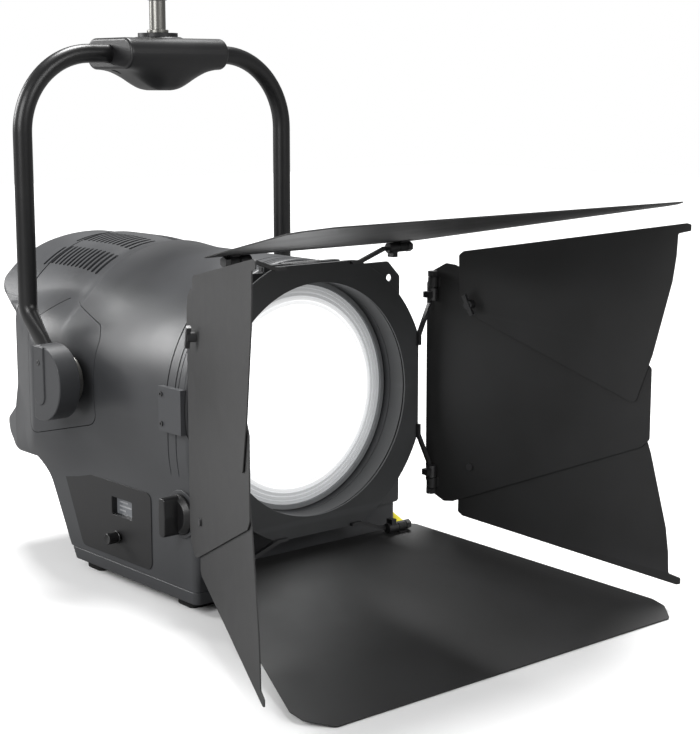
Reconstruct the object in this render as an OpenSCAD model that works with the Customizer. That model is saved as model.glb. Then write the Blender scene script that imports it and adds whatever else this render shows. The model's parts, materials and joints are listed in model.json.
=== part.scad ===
// Fresnel spotlight with a four-leaf barn door, a yoke and a mounting spigot.
// Origin: on the beam axis, at the front face of the barn-door ring.
// -Y is the way the beam goes, +Z is up, +X is on the right seen from the front.

/* [Optics] */
// Radius of the Fresnel lens
lens_r = 112; // [108:0.5:114]
// Distance of the lens's front face behind the barn-door ring
lens_y = 34; // [33:0.5:34]
// Travel of the lamp carriage each way from its middle place
focus_travel = 45; // [20:1:45]

/* [Barn doors] */
// Radius of the opening in the barn-door ring
ring_hole_r = 112; // [108:0.5:114]
// Outer radius of the barn-door ring
ring_r = 139; // [137:0.5:140]
// Distance of the ring's four flats from the beam axis
ring_flat = 130; // [128:0.5:131]
// Distance of the side leaves' hinge pins from the beam axis
side_hinge = 143.5; // [143:0.5:146]
// Distance of the top and bottom leaves' hinge pins from the beam axis
top_hinge = 139.5; // [139:0.5:141]
// Thickness of the leaf and wing sheets
sheet = 1.2; // [1:0.1:1.5]
// Length of the top and bottom leaves in front of their hinge pins
top_leaf_l = 266; // [240:1:268]
// Length of the side leaves in front of their hinge pins
side_leaf_l = 228; // [200:1:230]
// How far the top and bottom leaves stand open, degrees
top_open = 10.2; // [6:0.1:10.2]
// How far the left leaf stands open, degrees
left_open = 24; // [15:0.5:30]
// How far the right leaf stands open, degrees
right_open = 19; // [15:0.5:30]
// Half the side of the square accessory frame that carries the ring
frame_half = 123; // [121:0.5:123]

/* [Housing] */
// Outer radius of the barrel
barrel_r = 132; // [130:0.5:133]
// Half the width of the rear body
rear_half = 150; // [148:0.5:151]
// Height of the rear body's top above the beam axis
rear_top = 137; // [136:0.5:138]
// Half the width of the base
base_half = 125; // [122:0.5:125]
// Wall thickness of the cast shells
wall = 3.5; // [3:0.5:4]
// Distance of the base's underside below the beam axis
base_z = 184; // [182:0.5:185]
// Height of the rubber feet
foot_h = 11; // [9:0.5:12]

/* [Yoke] */
// Distance of the tilt axis behind the barn-door ring
pivot_y = 213; // [210:1:215]
// Height of the tilt axis above the beam axis
pivot_z = 8; // [6:0.5:10]
// Distance of the yoke tube's centre line from the middle plane
arm_x = 161; // [160.5:0.5:164]
// Distance of the yoke's upright tubes behind the barn-door ring
arm_y = 257; // [250:1:262]
// Height of the yoke's top tube above the beam axis
yoke_z = 325.5; // [315:0.5:340]
// Radius of the yoke tube
tube_r = 9.4; // [8:0.1:9.5]
// Radius of the pivot discs
disc_r = 37.5; // [35:0.5:38]
// Radius of the spigot's stud
spigot_r = 14; // [12:0.5:14]

/* [Hidden] */
$fn = 64;
run = 0.05;          // radial clearance of a running fit
gap = 0.5;           // clearance between pieces that pass each other
pin_r = 2.5;         // hinge pins of the leaves
clamp_u = [84, 96];  // the hinge clamps along a leaf's pin
sleeve_u = [97, 107];
nut_u = [107.5, 113];
leaf_w = 5.3;        // how far a leaf's sheet stands outside its hinge pin
wing_v = 41;         // where the wing screws sit, along the leaf
wing_u = 82;         // and across it
knob_y = 47;         // focus knob's axis
knob_z = -99;
shaft_y = 85;        // cross shaft's axis
shaft_z = -127;
gear_teeth = 16;
gear_dir = atan2(shaft_z - knob_z, shaft_y - knob_y);      // from the knob to the shaft
gear_r = norm([shaft_y - knob_y, shaft_z - knob_z]) / 4;   // knob, idler and shaft gear
gear_x = [-114, -107];
screw_x = -90;       // the lead screw's axis
bevel = [6, 10];     // the small bevels' ends, from the crossing of their axes
carriage_y = 150;    // the carriage plate's front face, in its middle place
rod_x = 70;          // guide rods
rod_z = -95;
cup_r = 27;
cup_x = base_half + cup_r + 2; // the focus cup's axis
rear_y = [178, 345]; // ends of the rear shell
body_z = [-100, 115]; // bottom of the rear body, and the shoulders under its round roof
taper_y = 275;       // where its sides begin to draw in,
hood_y = 411;        // towards the hood's rear edge
hood_half = 104;
slant_y = 247;       // lower end of the slant behind the base
latch_y = 26.5;      // the holder latch's axis
fan_y = carriage_y + 90;
deck_z = -base_z + 12.5; // top of the base tray
head = [60, 42.5, 17];   // half sizes of the yoke head
spigot_z = yoke_z + head[2];

// ---------- helpers ----------

// A cylinder along Y from y0 to y1
module ycyl(r, y0, y1, x = 0, z = 0) {
    translate([x, y0, z]) rotate([-90, 0, 0]) cylinder(r = r, h = y1 - y0, $fn = 96);
}

// A cylinder along X from x0 to x1
module xcyl(r, x0, x1, y, z) {
    translate([x0, y, z]) rotate([0, 90, 0]) cylinder(r = r, h = x1 - x0, $fn = 64);
}

// A Y-Z outline made solid between x0 and x1
module side_slab(x0, x1) {
    translate([x0, 0, 0]) rotate([90, 0, 90]) linear_extrude(x1 - x0) children();
}

// An X-Z outline made solid between y0 and y1
module rear_slab(y0, y1) {
    translate([0, y1, 0]) rotate([90, 0, 0]) linear_extrude(y1 - y0) children();
}

module block(low, high) {
    translate(low) cube(high - low);
}

// Rounded rectangle, half sizes a and b
module round_rect(a, b, r) {
    square([2 * a - 2 * r, 2 * b], center = true);
    square([2 * a, 2 * b - 2 * r], center = true);
    for (x = [-1, 1], y = [-1, 1]) translate([x * (a - r), y * (b - r)]) circle(r);
}

module both_sides() {
    children();
    mirror([1, 0, 0]) children();
}

// ---------- housing ----------

// Outline of the rear body seen from behind, shrunk by t
module rear_outline(t = 0) {
    circle(rear_top - t, $fn = 96);
    translate([0, (body_z[0] + body_z[1]) / 2])
        round_rect(rear_half - t, (body_z[1] - body_z[0]) / 2 - t, 62 - t);
}

// Outline of the rear body seen from above, shrunk by t
module rear_plan(t = 0) {
    polygon([
        [t - rear_half, 170], [t - rear_half, taper_y], [t - hood_half, hood_y],
        [hood_half - t, hood_y], [rear_half - t, taper_y], [rear_half - t, 170],
    ]);
}

// Outline of the base seen from the side, shrunk by t
module base_outline(t = 0) {
    polygon([[27.5 + t, -30], [27.5 + t, deck_z], [slant_y - t, deck_z], [298 - t, -80], [298 - t, -30]]);
}

// Outline of the rear body seen from the side
module body_side(t = 0) {
    polygon([
        [rear_y[0], barrel_r + 0.4 - t], [240, rear_top - t], [rear_y[1] + 1, rear_top - t],
        [rear_y[1] + 1, body_z[0] + t], [rear_y[0], body_z[0] + t],
    ]);
}

// The rear body made solid between y0 and y1, shrunk by t
module rear_form(y0, y1, t = 0) {
    intersection() {
        rear_slab(y0, y1) rear_outline(t);
        side_slab(-rear_half, rear_half) body_side(t);
        linear_extrude(500, center = true) rear_plan(t);
    }
}

// The holes through both side walls for the knob and the cup shafts
module drive_bores() {
    xcyl(5 + run, -base_half - 1, -base_half + wall + 1, knob_y, knob_z);
    xcyl(4 + run, base_half - wall - 1, base_half + 1, shaft_y, shaft_z);
}

module front_bezel() {
    color("#3f4042") difference() {
        union() {
            ycyl(barrel_r, 31, 43 - gap);
            ycyl(lens_r + 8, 40, 56);
        }
        ycyl(lens_r - 4, 30, 57);
        ycyl(lens_r + 0.3, 30, 41.5);
    }
}

module barrel_shell() {
    color("#56575a") difference() {
        union() {
            ycyl(barrel_r, 43, rear_y[0]);
            intersection() {
                side_slab(-base_half, base_half) base_outline();
                block([-200, 0, -200], [200, rear_y[0], -40]);
            }
        }
        ycyl(barrel_r - wall, 42, rear_y[0] + 1);
        ycyl(barrel_r + 0.3, 27, 43);
        intersection() {
            side_slab(-base_half + wall, base_half - wall) base_outline(wall);
            block([-200, 0, -200], [200, rear_y[0] + 1, -39]);
        }
        block([-base_half + wall, 31, deck_z - 1], [base_half - wall, rear_y[0] + 1, deck_z + 5]);
        for (y = [47, 60]) ring_groove(y);
        drive_bores();
        panel_opening();
    }
}

// A shallow groove round the barrel
module ring_groove(y) {
    difference() {
        ycyl(barrel_r + 9, y, y + 1.4);
        ycyl(barrel_r - 1.2, y - 1, y + 3);
        block([-200, y - 1, -200], [200, y + 3, -60]);
    }
}

// Outline of the control panel, shrunk by t
module panel_outline(t = 0) {
    polygon([[99 + t, -90 - t], [259 - 1.4 * t, -90 - t], [223 - 0.6 * t, -166 + t], [99 + t, -166 + t]]);
}

module panel_opening() {
    side_slab(-base_half - 1, -base_half + wall + 1) panel_outline(6);
}

module rear_shell() {
    color("#56575a") difference() {
        union() {
            rear_form(rear_y[0] + 0.02, rear_y[1]);
            intersection() {
                side_slab(-base_half, base_half) base_outline();
                block([-200, rear_y[0] + 0.02, -200], [200, 340, -90]);
            }
        }
        rear_form(rear_y[0] + wall, rear_y[1] + 1, wall);
        intersection() {
            side_slab(-base_half + wall, base_half - wall) base_outline(wall);
            block([-200, rear_y[0] - 1, -200], [200, 340, -60]);
        }
        ycyl(barrel_r - wall, rear_y[0] - 1, rear_y[0] + wall + 1);
        block([-base_half + wall, rear_y[0] - 1, deck_z - 1], [base_half - wall, 224, deck_z + 5]);
        panel_opening();
        side_cover_opening();
        mirror([1, 0, 0]) side_cover_opening();
        roof_vents();
    }
}

// Slots through the roof: two groups on each side
module roof_vents() {
    for (side = [-1, 1], n = [0 : 13], group = [[10, 43], [56, 84]])
        translate([side * (group[0] + group[1]) / 2, 254 + n * 6.5, 122])
            cube([group[1] - group[0], 2.8, 54], center = true);
}

// Outline of the cover round the pivot, seen from the side, shrunk by t
module cover_outline(t = 0) {
    polygon([
        [190, 62 - t], [258 - t, 84 - t], [286 - t, 60 - t], [286 - t, -58 + t],
        [182 + t, -34 + t], [182 + t, 50 - t],
    ]);
}

module side_cover_opening() {
    side_slab(-rear_half - 1, -rear_half + wall + 30) cover_outline();
}

module side_cover() {
    difference() {
        intersection() {
            side_slab(-rear_half, -rear_half + 30) cover_outline(0.3);
            rear_form(rear_y[0], rear_y[1]);
        }
        rear_form(rear_y[0] - 1, rear_y[1], wall);
        xcyl(12 + gap, -rear_half - 1, -rear_half + 20, pivot_y, pivot_z);
    }
}

module left_side_cover() {
    color("#515255") side_cover();
}

module right_side_cover() {
    color("#515255") mirror([1, 0, 0]) side_cover();
}

// Hood and lip seen from the side, with the recess for the rear panel between them
module hood_side() {
    polygon([
        [rear_y[1] + 0.3, rear_top], [396, rear_top - 1], [407, 124], [hood_y, 108],
        [hood_y, 76], [349, 58], [349, -36], [hood_y, -66], [404, -78], [368, -92],
        [rear_y[1] + 0.3, -98],
    ]);
}

module rear_hood() {
    color("#515255") difference() {
        intersection() {
            side_slab(-rear_half, rear_half) hood_side();
            rear_slab(rear_y[1], 420) rear_outline(0.2);
            linear_extrude(500, center = true) rear_plan();
        }
        block([-92, rear_y[1] - 1, 84], [92, 400, 110]);
        block([-78, rear_y[1] - 1, -35.5], [78, 360, 40]);
        for (n = [0 : 5]) block([-82 + n * 28.8, 358, 50], [-62 + n * 28.8, 394, 90]);
    }
}

module base_tray() {
    color("#4a4b4d") difference() {
        union() {
            side_slab(-base_half, base_half) polygon([
                [27.5, -base_z], [27.5, deck_z - 0.3], [slant_y - 0.3, deck_z - 0.3],
                [slant_y - 7, -base_z],
            ]);
            block([-base_half + wall + 0.3, 31.4, deck_z - 0.31], [base_half - wall - 0.3, 223, deck_z + 4]);
        }
        block([-base_half + wall + 4, 36, -base_z + 3], [base_half - wall - 4, 219, deck_z + 5]);
    }
}

module feet() {
    color("#161616") for (x = [-1, 1], y = [60, 221])
        translate([x * 102, y, -base_z - foot_h + 1.5]) {
            translate([-14, -14, 0]) cube([28, 28, foot_h - 1.5]);
        }
}

// ---------- optics ----------

module lens() {
    color("#f2f4f5") difference() {
        ycyl(lens_r, lens_y, lens_y + 7);
        for (r = [12 : 10 : 102]) difference() {
            ycyl(r + 3, lens_y - 1, lens_y + 1.2);
            ycyl(r, lens_y - 2, lens_y + 2);
        }
    }
}

module lens_retainer() {
    color("#2c2c2d") difference() {
        ycyl(lens_r - 0.2, 31, lens_y - 0.05);
        ycyl(lens_r - 5, 30, lens_y + 1);
    }
}

// ---------- accessory holder ----------

module holder_side() {
    block([frame_half + 0.6, 19, -70], [frame_half + 3, 27.3, 70]);
    block([frame_half - 5, 19, -70], [frame_half + 3, 20.6, 70]);
    block([frame_half - 5, 25, -70], [frame_half + 3, 27, 70]);
    block([frame_half - 3, 25, -39], [frame_half + 3, 30.9, 39]);
}

module accessory_holder() {
    color("#2e2f30") difference() {
        union() {
            both_sides() holder_side();
            block([-70, 19, -frame_half - 3], [70, 27.3, -frame_half - 0.6]);
            block([-70, 19, -frame_half - 3], [70, 20.6, -frame_half + 5]);
            block([-36, 25, -frame_half - 3], [36, 30.9, -frame_half + 3]);
            block([-46, 25, frame_half - 3], [46, 30.9, frame_half + 6]);
            block([-46, 22.4, frame_half + 0.7], [46, 30.9, frame_half + 6]);
        }
        block([-24.3, 20, frame_half - 1.3], [24.3, 33, frame_half + 7]);
        xcyl(2 + run, -48, 48, latch_y, frame_half + 3);
        ycyl(lens_r + 2, 18, 40);
    }
}

// The two blocks that bolt the holder's arms to the barrel
module holder_brackets() {
    color("#515255") both_sides() difference() {
        block([126.6, 31.2, -21], [136.5, 67, 21]);
        ycyl(barrel_r + 0.2, 30, 70);
    }
}

module screw_head(x, y, z) {
    difference() {
        xcyl(2.4, x, x + 1.2, y, z);
        xcyl(1.2, x + 0.5, x + 2, y, z);
    }
}

module housing_screws() {
    color("#161616") both_sides() for (z = [-14, 14]) screw_head(136.52, 62, z);
}

// Spring latch over the slot: it turns up to let the accessory frame out
module holder_latch() {
    color("#1c1c1d") union() {
        xcyl(4.2, -23.5, 23.5, latch_y, frame_half + 3);
        xcyl(2, -47, 47, latch_y, frame_half + 3);
        block([-15, 19.3, frame_half + 3.6], [15, latch_y, frame_half + 6]);
        block([-15, 16.5, frame_half + 1.2], [15, 19.4, frame_half + 6]);
    }
}

// ---------- controls ----------

module control_panel() {
    color("#38393b") difference() {
        side_slab(-base_half - 0.8, -base_half - 0.02) panel_outline();
        block([-base_half - 2, 132, -123], [-base_half + 1, 168, -105]);
        xcyl(3 + run, -base_half - 2, -base_half + 1, 156, -144);
    }
    color("#38393b") difference() {
        side_slab(-base_half - 0.03, -base_half + wall) panel_outline(6.2);
        block([-base_half - 2, 134, -121.5], [-base_half + 5, 166, -106.5]);
        xcyl(4.2, -base_half - 2, -base_half + 6, 156, -144);
    }
}

module display_window() {
    color("#0b0d10") block([-base_half - 0.5, 132.2, -122.8], [-base_half - 0.05, 167.8, -105.2]);
}

module encoder_shaft() {
    color("silver") union() {
        xcyl(3, -base_half - 12, -base_half + 8, 156, -144);
        xcyl(6, -base_half + 7.9, -base_half + 11, 156, -144);
    }
}

module encoder_knob() {
    color("#1a1a1b") difference() {
        union() {
            xcyl(5.6, -base_half - 15, -base_half - 3, 156, -144);
            xcyl(6.6, -base_half - 4.5, -base_half - 3, 156, -144);
        }
        xcyl(3 + run, -base_half - 12.1, -base_half, 156, -144);
    }
}

// Round seat under the focus knob, with a plain pointer mark
module knob_seat() {
    color("#4a4b4d") difference() {
        union() {
            xcyl(23, -base_half - 2, -base_half - 0.02, knob_y, knob_z);
            side_slab(-base_half - 2.4, -base_half - 1.9)
                translate([knob_y - 20, knob_z]) circle(4, $fn = 3);
        }
        xcyl(5 + gap, -base_half - 3, -base_half + 1, knob_y, knob_z);
    }
}

// A gear along X with slim straight-sided teeth, so that it runs free in its partner.
// turn is where one of its teeth points, from +Y towards +Z.
module focus_gear(turn) {
    rotate([turn + 90, 0, 0]) rotate([0, 90, 0]) translate([0, 0, gear_x[0]])
        linear_extrude(gear_x[1] - gear_x[0]) union() {
            circle(gear_r - 2.2);
            for (n = [0 : gear_teeth - 1]) rotate(n * 360 / gear_teeth)
                polygon([[0, -1.1], [gear_r - 2, -1.1], [gear_r + 1.3, -0.5],
                         [gear_r + 1.3, 0.5], [gear_r - 2, 1.1], [0, 1.1]]);
        }
}

// A bevel's 45 degree cone, its axis along Z and its point at the origin
module bevel_cone() {
    translate([0, 0, bevel[0]]) cylinder(
        r1 = bevel[0] - 0.3, r2 = bevel[1] - 0.3, h = bevel[1] - bevel[0], $fn = 48);
}

module focus_knob() {
    color("#111112") {
        difference() {
            xcyl(19.5, -base_half - 24, -base_half - 2.6, knob_y, knob_z);
            for (y = [5.4, -27.4]) translate([-base_half - 30, knob_y + y, knob_z - 30])
                cube([22, 22, 60]);
        }
        xcyl(5, -base_half - 3, -104, knob_y, knob_z);
        translate([0, knob_y, knob_z]) focus_gear(gear_dir);
    }
}

// Gear between the knob's gear and the cross shaft's, on its own short axle
module idler_gear() {
    color("#8d8f92") translate([0, (knob_y + shaft_y) / 2, (knob_z + shaft_z) / 2]) {
        xcyl(3, gear_x[0] - 4, gear_x[1] + 4, 0, 0);
        focus_gear(gear_dir + 180 / gear_teeth);
    }
}

// Cross shaft: a gear for the knob, a bevel for the lead screw and one for the cup
module cross_shaft() {
    color("silver") translate([0, shaft_y, shaft_z]) {
        xcyl(4, -117, cup_x - bevel[0] + 1, 0, 0);
        focus_gear(gear_dir);
        translate([screw_x, 0, 0]) rotate([0, 90, 0]) bevel_cone();
        translate([cup_x, 0, 0]) rotate([0, -90, 0]) bevel_cone();
    }
}

module lead_screw() {
    color("silver") {
        ycyl(4, shaft_y + bevel[0] + 1, carriage_y + focus_travel + 60, screw_x, shaft_z);
        translate([screw_x, shaft_y, shaft_z]) rotate([-90, 0, 0]) bevel_cone();
    }
}

// Housing of the right-angle drive over the focus cup
module cup_gearbox() {
    color("#2c2c2d") difference() {
        block([base_half + 0.05, shaft_y - 12, shaft_z - 13],
              [cup_x + 12, shaft_y + 12, shaft_z + 12]);
        block([base_half + 3, shaft_y - 10, shaft_z - 10.5], [cup_x + 10, shaft_y + 10, shaft_z + 10]);
        xcyl(4 + run, base_half - 1, base_half + 5, shaft_y, shaft_z);
        translate([cup_x, shaft_y, shaft_z - 20]) cylinder(r = 4 + run, h = 15);
    }
}

// Yellow pole-operation cup: a funnel that opens downwards and centres a pole's hook
module focus_cup() {
    color("#e6d93f") translate([cup_x, shaft_y, shaft_z]) difference() {
        union() {
            translate([0, 0, -26]) cylinder(r = 4, h = 26 - bevel[0] - 1);
            rotate([180, 0, 0]) bevel_cone();
            translate([0, 0, -22]) cylinder(r = 7, h = 8.5);
            translate([0, 0, -36]) cylinder(r1 = cup_r - 1.5, r2 = 7, h = 18);
            translate([0, 0, -42]) cylinder(r = cup_r, h = 6.5);
        }
        translate([0, 0, -36.01]) cylinder(r1 = cup_r - 3.5, r2 = 5, h = 16.5);
        translate([0, 0, -43]) cylinder(r = cup_r - 1.8, h = 7);
    }
    color("silver") translate([cup_x, shaft_y, shaft_z - 32]) rotate([0, 90, 0])
        cylinder(r = 1.8, h = 2 * cup_r - 12, center = true);
}

// ---------- lamp engine ----------

// Two guide rods and the two plates that hold them
module carriage_rails() {
    color("silver") for (x = [-1, 1]) ycyl(4, 66, 270, x * rod_x, rod_z);
    color("#3c3d3f") for (y = [66, 262]) difference() {
        block([-80, y, rod_z - 12], [80, y + 8, rod_z + 15]);
        for (x = [-1, 1]) ycyl(4 + run, y - 1, y + 9, x * rod_x, rod_z);
        ycyl(106, y - 1, y + 9);
    }
}

module carriage() {
    color("#8d8f92") difference() {
        union() {
            ycyl(96, carriage_y, carriage_y + 5);
            block([-79, carriage_y, rod_z - 12], [79, carriage_y + 24, rod_z + 12]);
            block([screw_x - 12, carriage_y, shaft_z - 10],
                  [screw_x + 12, carriage_y + 24, rod_z + 12]);
        }
        for (x = [-1, 1]) ycyl(4 + run, carriage_y - 1, carriage_y + 30, x * rod_x, rod_z);
        ycyl(4 + run, carriage_y - 1, carriage_y + 30, screw_x, shaft_z);
    }
}

module led_module() {
    color("#e8d77a") union() {
        ycyl(34, carriage_y - 4, carriage_y - 0.05);
        ycyl(22, carriage_y - 5.5, carriage_y - 3.9);
    }
}

module heat_sink() {
    color("#a9abad") union() {
        block([-52, carriage_y + 5.05, -50], [52, carriage_y + 12, 52]);
        for (n = [0 : 12]) translate([-52 + n * 8.5, carriage_y + 11.9, -50]) cube([2, 58.1, 102]);
    }
}

module fan_frame() {
    color("#1b1b1c") difference() {
        block([-46, fan_y - 19.9, -45], [46, fan_y + 5, 47]);
        ycyl(43, fan_y - 17, fan_y + 6, 0, 1);
        ycyl(43, fan_y - 21, fan_y - 16, 0, 1);
    }
    color("#1b1b1c") difference() {
        union() {
            block([-44, fan_y - 19.8, -2], [44, fan_y - 17.5, 4]);
            block([-3, fan_y - 19.8, -43], [3, fan_y - 17.5, 45]);
            ycyl(16, fan_y - 19.8, fan_y - 17.5, 0, 1);
            ycyl(2.5, fan_y - 18, fan_y - 4, 0, 1);
        }
    }
}

module fan_rotor() {
    color("#262627") difference() {
        union() {
            ycyl(15, fan_y - 16.5, fan_y + 3, 0, 1);
            for (n = [0 : 6]) translate([0, fan_y - 7, 1]) rotate([0, n * 360 / 7, 0])
                translate([0, -8, 13]) rotate([0, 0, 32]) cube([2, 16, 27]);
        }
        ycyl(2.5 + run, fan_y - 17, fan_y - 3.5, 0, 1);
    }
}

module power_supply() {
    color("#b9bbbd") block([-66, 84, deck_z + 4.2], [96, 214, shaft_z - 11]);
}

module control_board() {
    color("#1d5a35") union() {
        block([-base_half + 13, 130, -158], [-base_half + 14.6, 172, -108]);
        block([-base_half + 14.5, 134, -130], [-base_half + 18, 150, -116]);
    }
}

module rear_panel() {
    color("#2a2a2b") difference() {
        block([-77, 346, -35], [77, 349, 39]);
        for (x = [-50, -17, 17, 50]) ycyl(11, 345, 350, x, 2);
    }
}

// Power in and through, data in and through: round panel sockets
module panel_connectors() {
    color("#17181a") for (x = [-50, -17, 17, 50]) difference() {
        union() {
            ycyl(10.9, 333, 353, x, 2);
            ycyl(13, 349.05, 351, x, 2);
        }
        ycyl(8.5, 339, 354, x, 2);
    }
}

// ---------- yoke ----------

// Steel bosses on the housing that the yoke turns on
module pivot_hubs() {
    color("#7c7e80") both_sides() union() {
        xcyl(24, rear_half - wall - 5, rear_half - wall - 0.02, pivot_y, pivot_z);
        xcyl(12, rear_half - wall - 0.03, arm_x + 12, pivot_y, pivot_z);
    }
}

// A bend of the tube, its ends a degree into the straights and a hair slimmer than them
module arm_bend(from, bend_angle, r, bend) {
    rotate([0, 0, from - 1]) rotate_extrude(angle = bend_angle + 2, $fn = 96)
        translate([bend, 0]) circle(r - 0.05, $fn = 48);
}

module arm_straight(r, l) {
    cylinder(r = r, h = l, $fn = 48);
}

// The right arm: out of the head, top bend, upright, forward bend, into the disc
module arm_path(r) {
    bend = 78;
    low_bend = 20;
    lean = 43;
    low_z = 81;
    translate([0, arm_y, 0]) {
        translate([26, 0, yoke_z]) rotate([0, 90, 0]) arm_straight(r, arm_x - bend - 26);
        translate([arm_x - bend, 0, yoke_z - bend]) rotate([90, 0, 0]) arm_bend(0, 90, r, bend);
        translate([arm_x, 0, low_z]) arm_straight(r, yoke_z - bend - low_z);
        translate([arm_x, -low_bend, low_z]) rotate([0, 90, 0])
            arm_bend(90 - lean, lean, r, low_bend);
        translate([arm_x, -low_bend, low_z]) rotate([-lean, 0, 0])
            translate([0, low_bend, -48]) arm_straight(r, 48);
    }
}

module yoke_arm_right() {
    color("#1b1b1c") arm_path(tube_r);
}

module yoke_arm_left() {
    color("#1b1b1c") mirror([1, 0, 0]) arm_path(tube_r);
}

// Pivot disc: a cast cup round the end of the arm, with a raised strip on its face
module pivot_disc() {
    difference() {
        union() {
            xcyl(disc_r, rear_half + 2.5, arm_x + 15, pivot_y, pivot_z);
            block([arm_x + 14.9, pivot_y - 9, pivot_z - 20], [arm_x + 18, pivot_y + 9, pivot_z + 27]);
            xcyl(9, arm_x + 14.9, arm_x + 18, pivot_y, pivot_z - 20);
        }
        xcyl(12 + run, rear_half, arm_x + 12.1, pivot_y, pivot_z);
        arm_path(tube_r + 0.05);
    }
}

module pivot_disc_right() {
    color("#515255") pivot_disc();
}

module pivot_disc_left() {
    color("#515255") mirror([1, 0, 0]) pivot_disc();
}

module head_body() {
    translate([0, arm_y, yoke_z]) {
        cube([2 * head[0], 2 * (head[1] - head[2]), 2 * head[2]], center = true);
        for (y = [-1, 1]) translate([0, y * (head[1] - head[2]), 0]) rotate([0, 90, 0])
            cylinder(r = head[2], h = 2 * head[0], center = true);
    }
}

module head_bores() {
    both_sides() translate([0, arm_y, 0]) xcyl(tube_r + 0.05, 25.9, head[0] + 1, 0, yoke_z);
    translate([0, arm_y, yoke_z - 60]) cylinder(r = 10 + run, h = 120);
}

module yoke_head_top() {
    color("#1b1b1c") difference() {
        head_body();
        translate([-100, arm_y - 100, yoke_z - 100]) cube([200, 200, 100.1]);
        head_bores();
    }
}

// Lower half of the head, with the round bowl that covers the spigot's nut
module yoke_head_base() {
    color("#1b1b1c") difference() {
        union() {
            head_body();
            translate([0, arm_y, yoke_z - head[2]]) hull() {
                translate([0, 0, -0.5]) linear_extrude(2, $fn = 32) round_rect(42, 31, 13);
                translate([0, 0, -24]) cylinder(r = 22, h = 1, $fn = 32);
            }
        }
        translate([-100, arm_y - 100, yoke_z - 0.1]) cube([200, 200, 100]);
        head_bores();
        translate([0, arm_y, yoke_z - head[2] - 22]) cylinder(r = 18, h = 26);
        translate([0, arm_y, yoke_z - 60]) cylinder(r = 4, h = 30);
        translate([-56, arm_y - 26, yoke_z - 12]) rotate([0, -45, 0]) cylinder(r = 3, h = 16, center = true);
    }
}

module spigot() {
    color("#b4b6b8") difference() {
        translate([0, arm_y, 0]) union() {
            translate([0, 0, yoke_z - head[2] - 14]) cylinder(r = 6, h = 14);
            translate([0, 0, yoke_z - head[2] - 0.01]) cylinder(r = 10, h = 2 * head[2] + 4.5);
            translate([0, 0, spigot_z + 4.4]) cylinder(r = 11, h = 3.2);
            translate([0, 0, spigot_z + 7.5]) cylinder(r = 8.3, h = 30);
            translate([0, 0, spigot_z + 37.4]) cylinder(r1 = 10, r2 = spigot_r, h = 4);
            translate([0, 0, spigot_z + 41.3]) cylinder(r = spigot_r, h = 48);
            translate([0, 0, spigot_z + 89.2]) cylinder(r1 = spigot_r, r2 = spigot_r - 2, h = 2);
        }
        translate([0, arm_y, spigot_z + 70]) rotate([90, 0, 0]) cylinder(r = 4, h = 60, center = true);
    }
}

module spigot_flange() {
    color("#161617") translate([0, arm_y, spigot_z + 0.4]) difference() {
        cylinder(r = 20.5, h = 3.9);
        translate([0, 0, -1]) cylinder(r = 10.02, h = 8);
    }
}

module spigot_nut() {
    color("#8d8f92") translate([0, arm_y, yoke_z - head[2] - 12]) difference() {
        cylinder(r = 12, h = 8, $fn = 6);
        translate([0, 0, -1]) cylinder(r = 6.02, h = 10);
    }
}

// ---------- barn doors ----------

// Square accessory frame that slides into the holder and carries the turning ring
module door_base_plate() {
    color("#39393a") difference() {
        union() {
            rear_slab(21, 23) difference() {
                square(2 * frame_half, center = true);
                for (x = [-1, 1]) translate([x * frame_half, frame_half]) rotate(45)
                    square(22, center = true);
            }
            ycyl(ring_hole_r + 3, 4, 21.01);
        }
        ycyl(ring_hole_r + 0.6, 3, 30);
        for (x = [-1, 1]) ycyl(3.6, 20, 24, x * 109, 106.5);
    }
}

// Turning ring: plate, four flats with folded flanges, and a collar on the frame's spigot
module door_ring() {
    color("#39393a") difference() {
        union() {
            intersection() {
                ycyl(ring_r, 0, 2);
                block([-ring_flat, -1, -ring_flat], [ring_flat, 4, ring_flat]);
            }
            ycyl(ring_hole_r + 8, 1.9, 17);
            for (n = [0 : 3]) rotate([0, n * 90, 0])
                block([ring_flat - 3, 0, -50], [ring_flat, 8, 50]);
        }
        ycyl(ring_hole_r + 3 + run, 3, 20);
        ycyl(ring_hole_r, -1, 4);
    }
}

// Bent straps in front of the ring, from its flanges out to the hinge clamps
module hinge_straps() {
    color("#232324") for (n = [0 : 3]) rotate([0, n * 90, 0]) {
        hinge = (n % 2 == 0) ? side_hinge : top_hinge;
        for (m = [0, 1]) mirror([0, 0, m]) rear_slab(-4.02, -0.02) polygon([
            [ring_flat - 3, 40], [ring_flat, 40], [ring_flat, 50], [hinge + 1.2, clamp_u[0] - 3],
            [hinge + 1.2, clamp_u[0] - 0.02], [hinge - 2.5, clamp_u[0] - 0.02],
            [hinge - 2.5, clamp_u[0] - 3], [ring_flat - 3, 52],
        ]);
    }
}

// Friction clamps with the hinge pins and their nuts
module hinge_clamps() {
    color("#161617") for (n = [0 : 3]) rotate([0, n * 90, 0]) {
        hinge = (n % 2 == 0) ? side_hinge : top_hinge;
        for (m = [0, 1]) mirror([0, 0, m]) translate([hinge, -5, 0]) {
            translate([0, 0, clamp_u[0]]) cylinder(r = 5, h = clamp_u[1] - clamp_u[0]);
            translate([-9, -4, clamp_u[0] + 3]) cube([8, 8, 6]);
            translate([0, 0, clamp_u[1] - 0.1]) cylinder(r = pin_r, h = nut_u[1] - clamp_u[1]);
            translate([0, 0, nut_u[0]]) cylinder(r = 5, h = nut_u[1] - nut_u[0], $fn = 6);
        }
    }
}

// Leaf frame: X is out from the beam, -Y is along the leaf, Z is along the hinge pin,
// and the pin is on the Z axis. A leaf is drawn lying parallel to the beam.
module at_hinge(turn, hinge, open) {
    rotate([0, turn, 0]) translate([hinge, -5, 0]) rotate([0, 0, open]) children();
}

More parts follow.
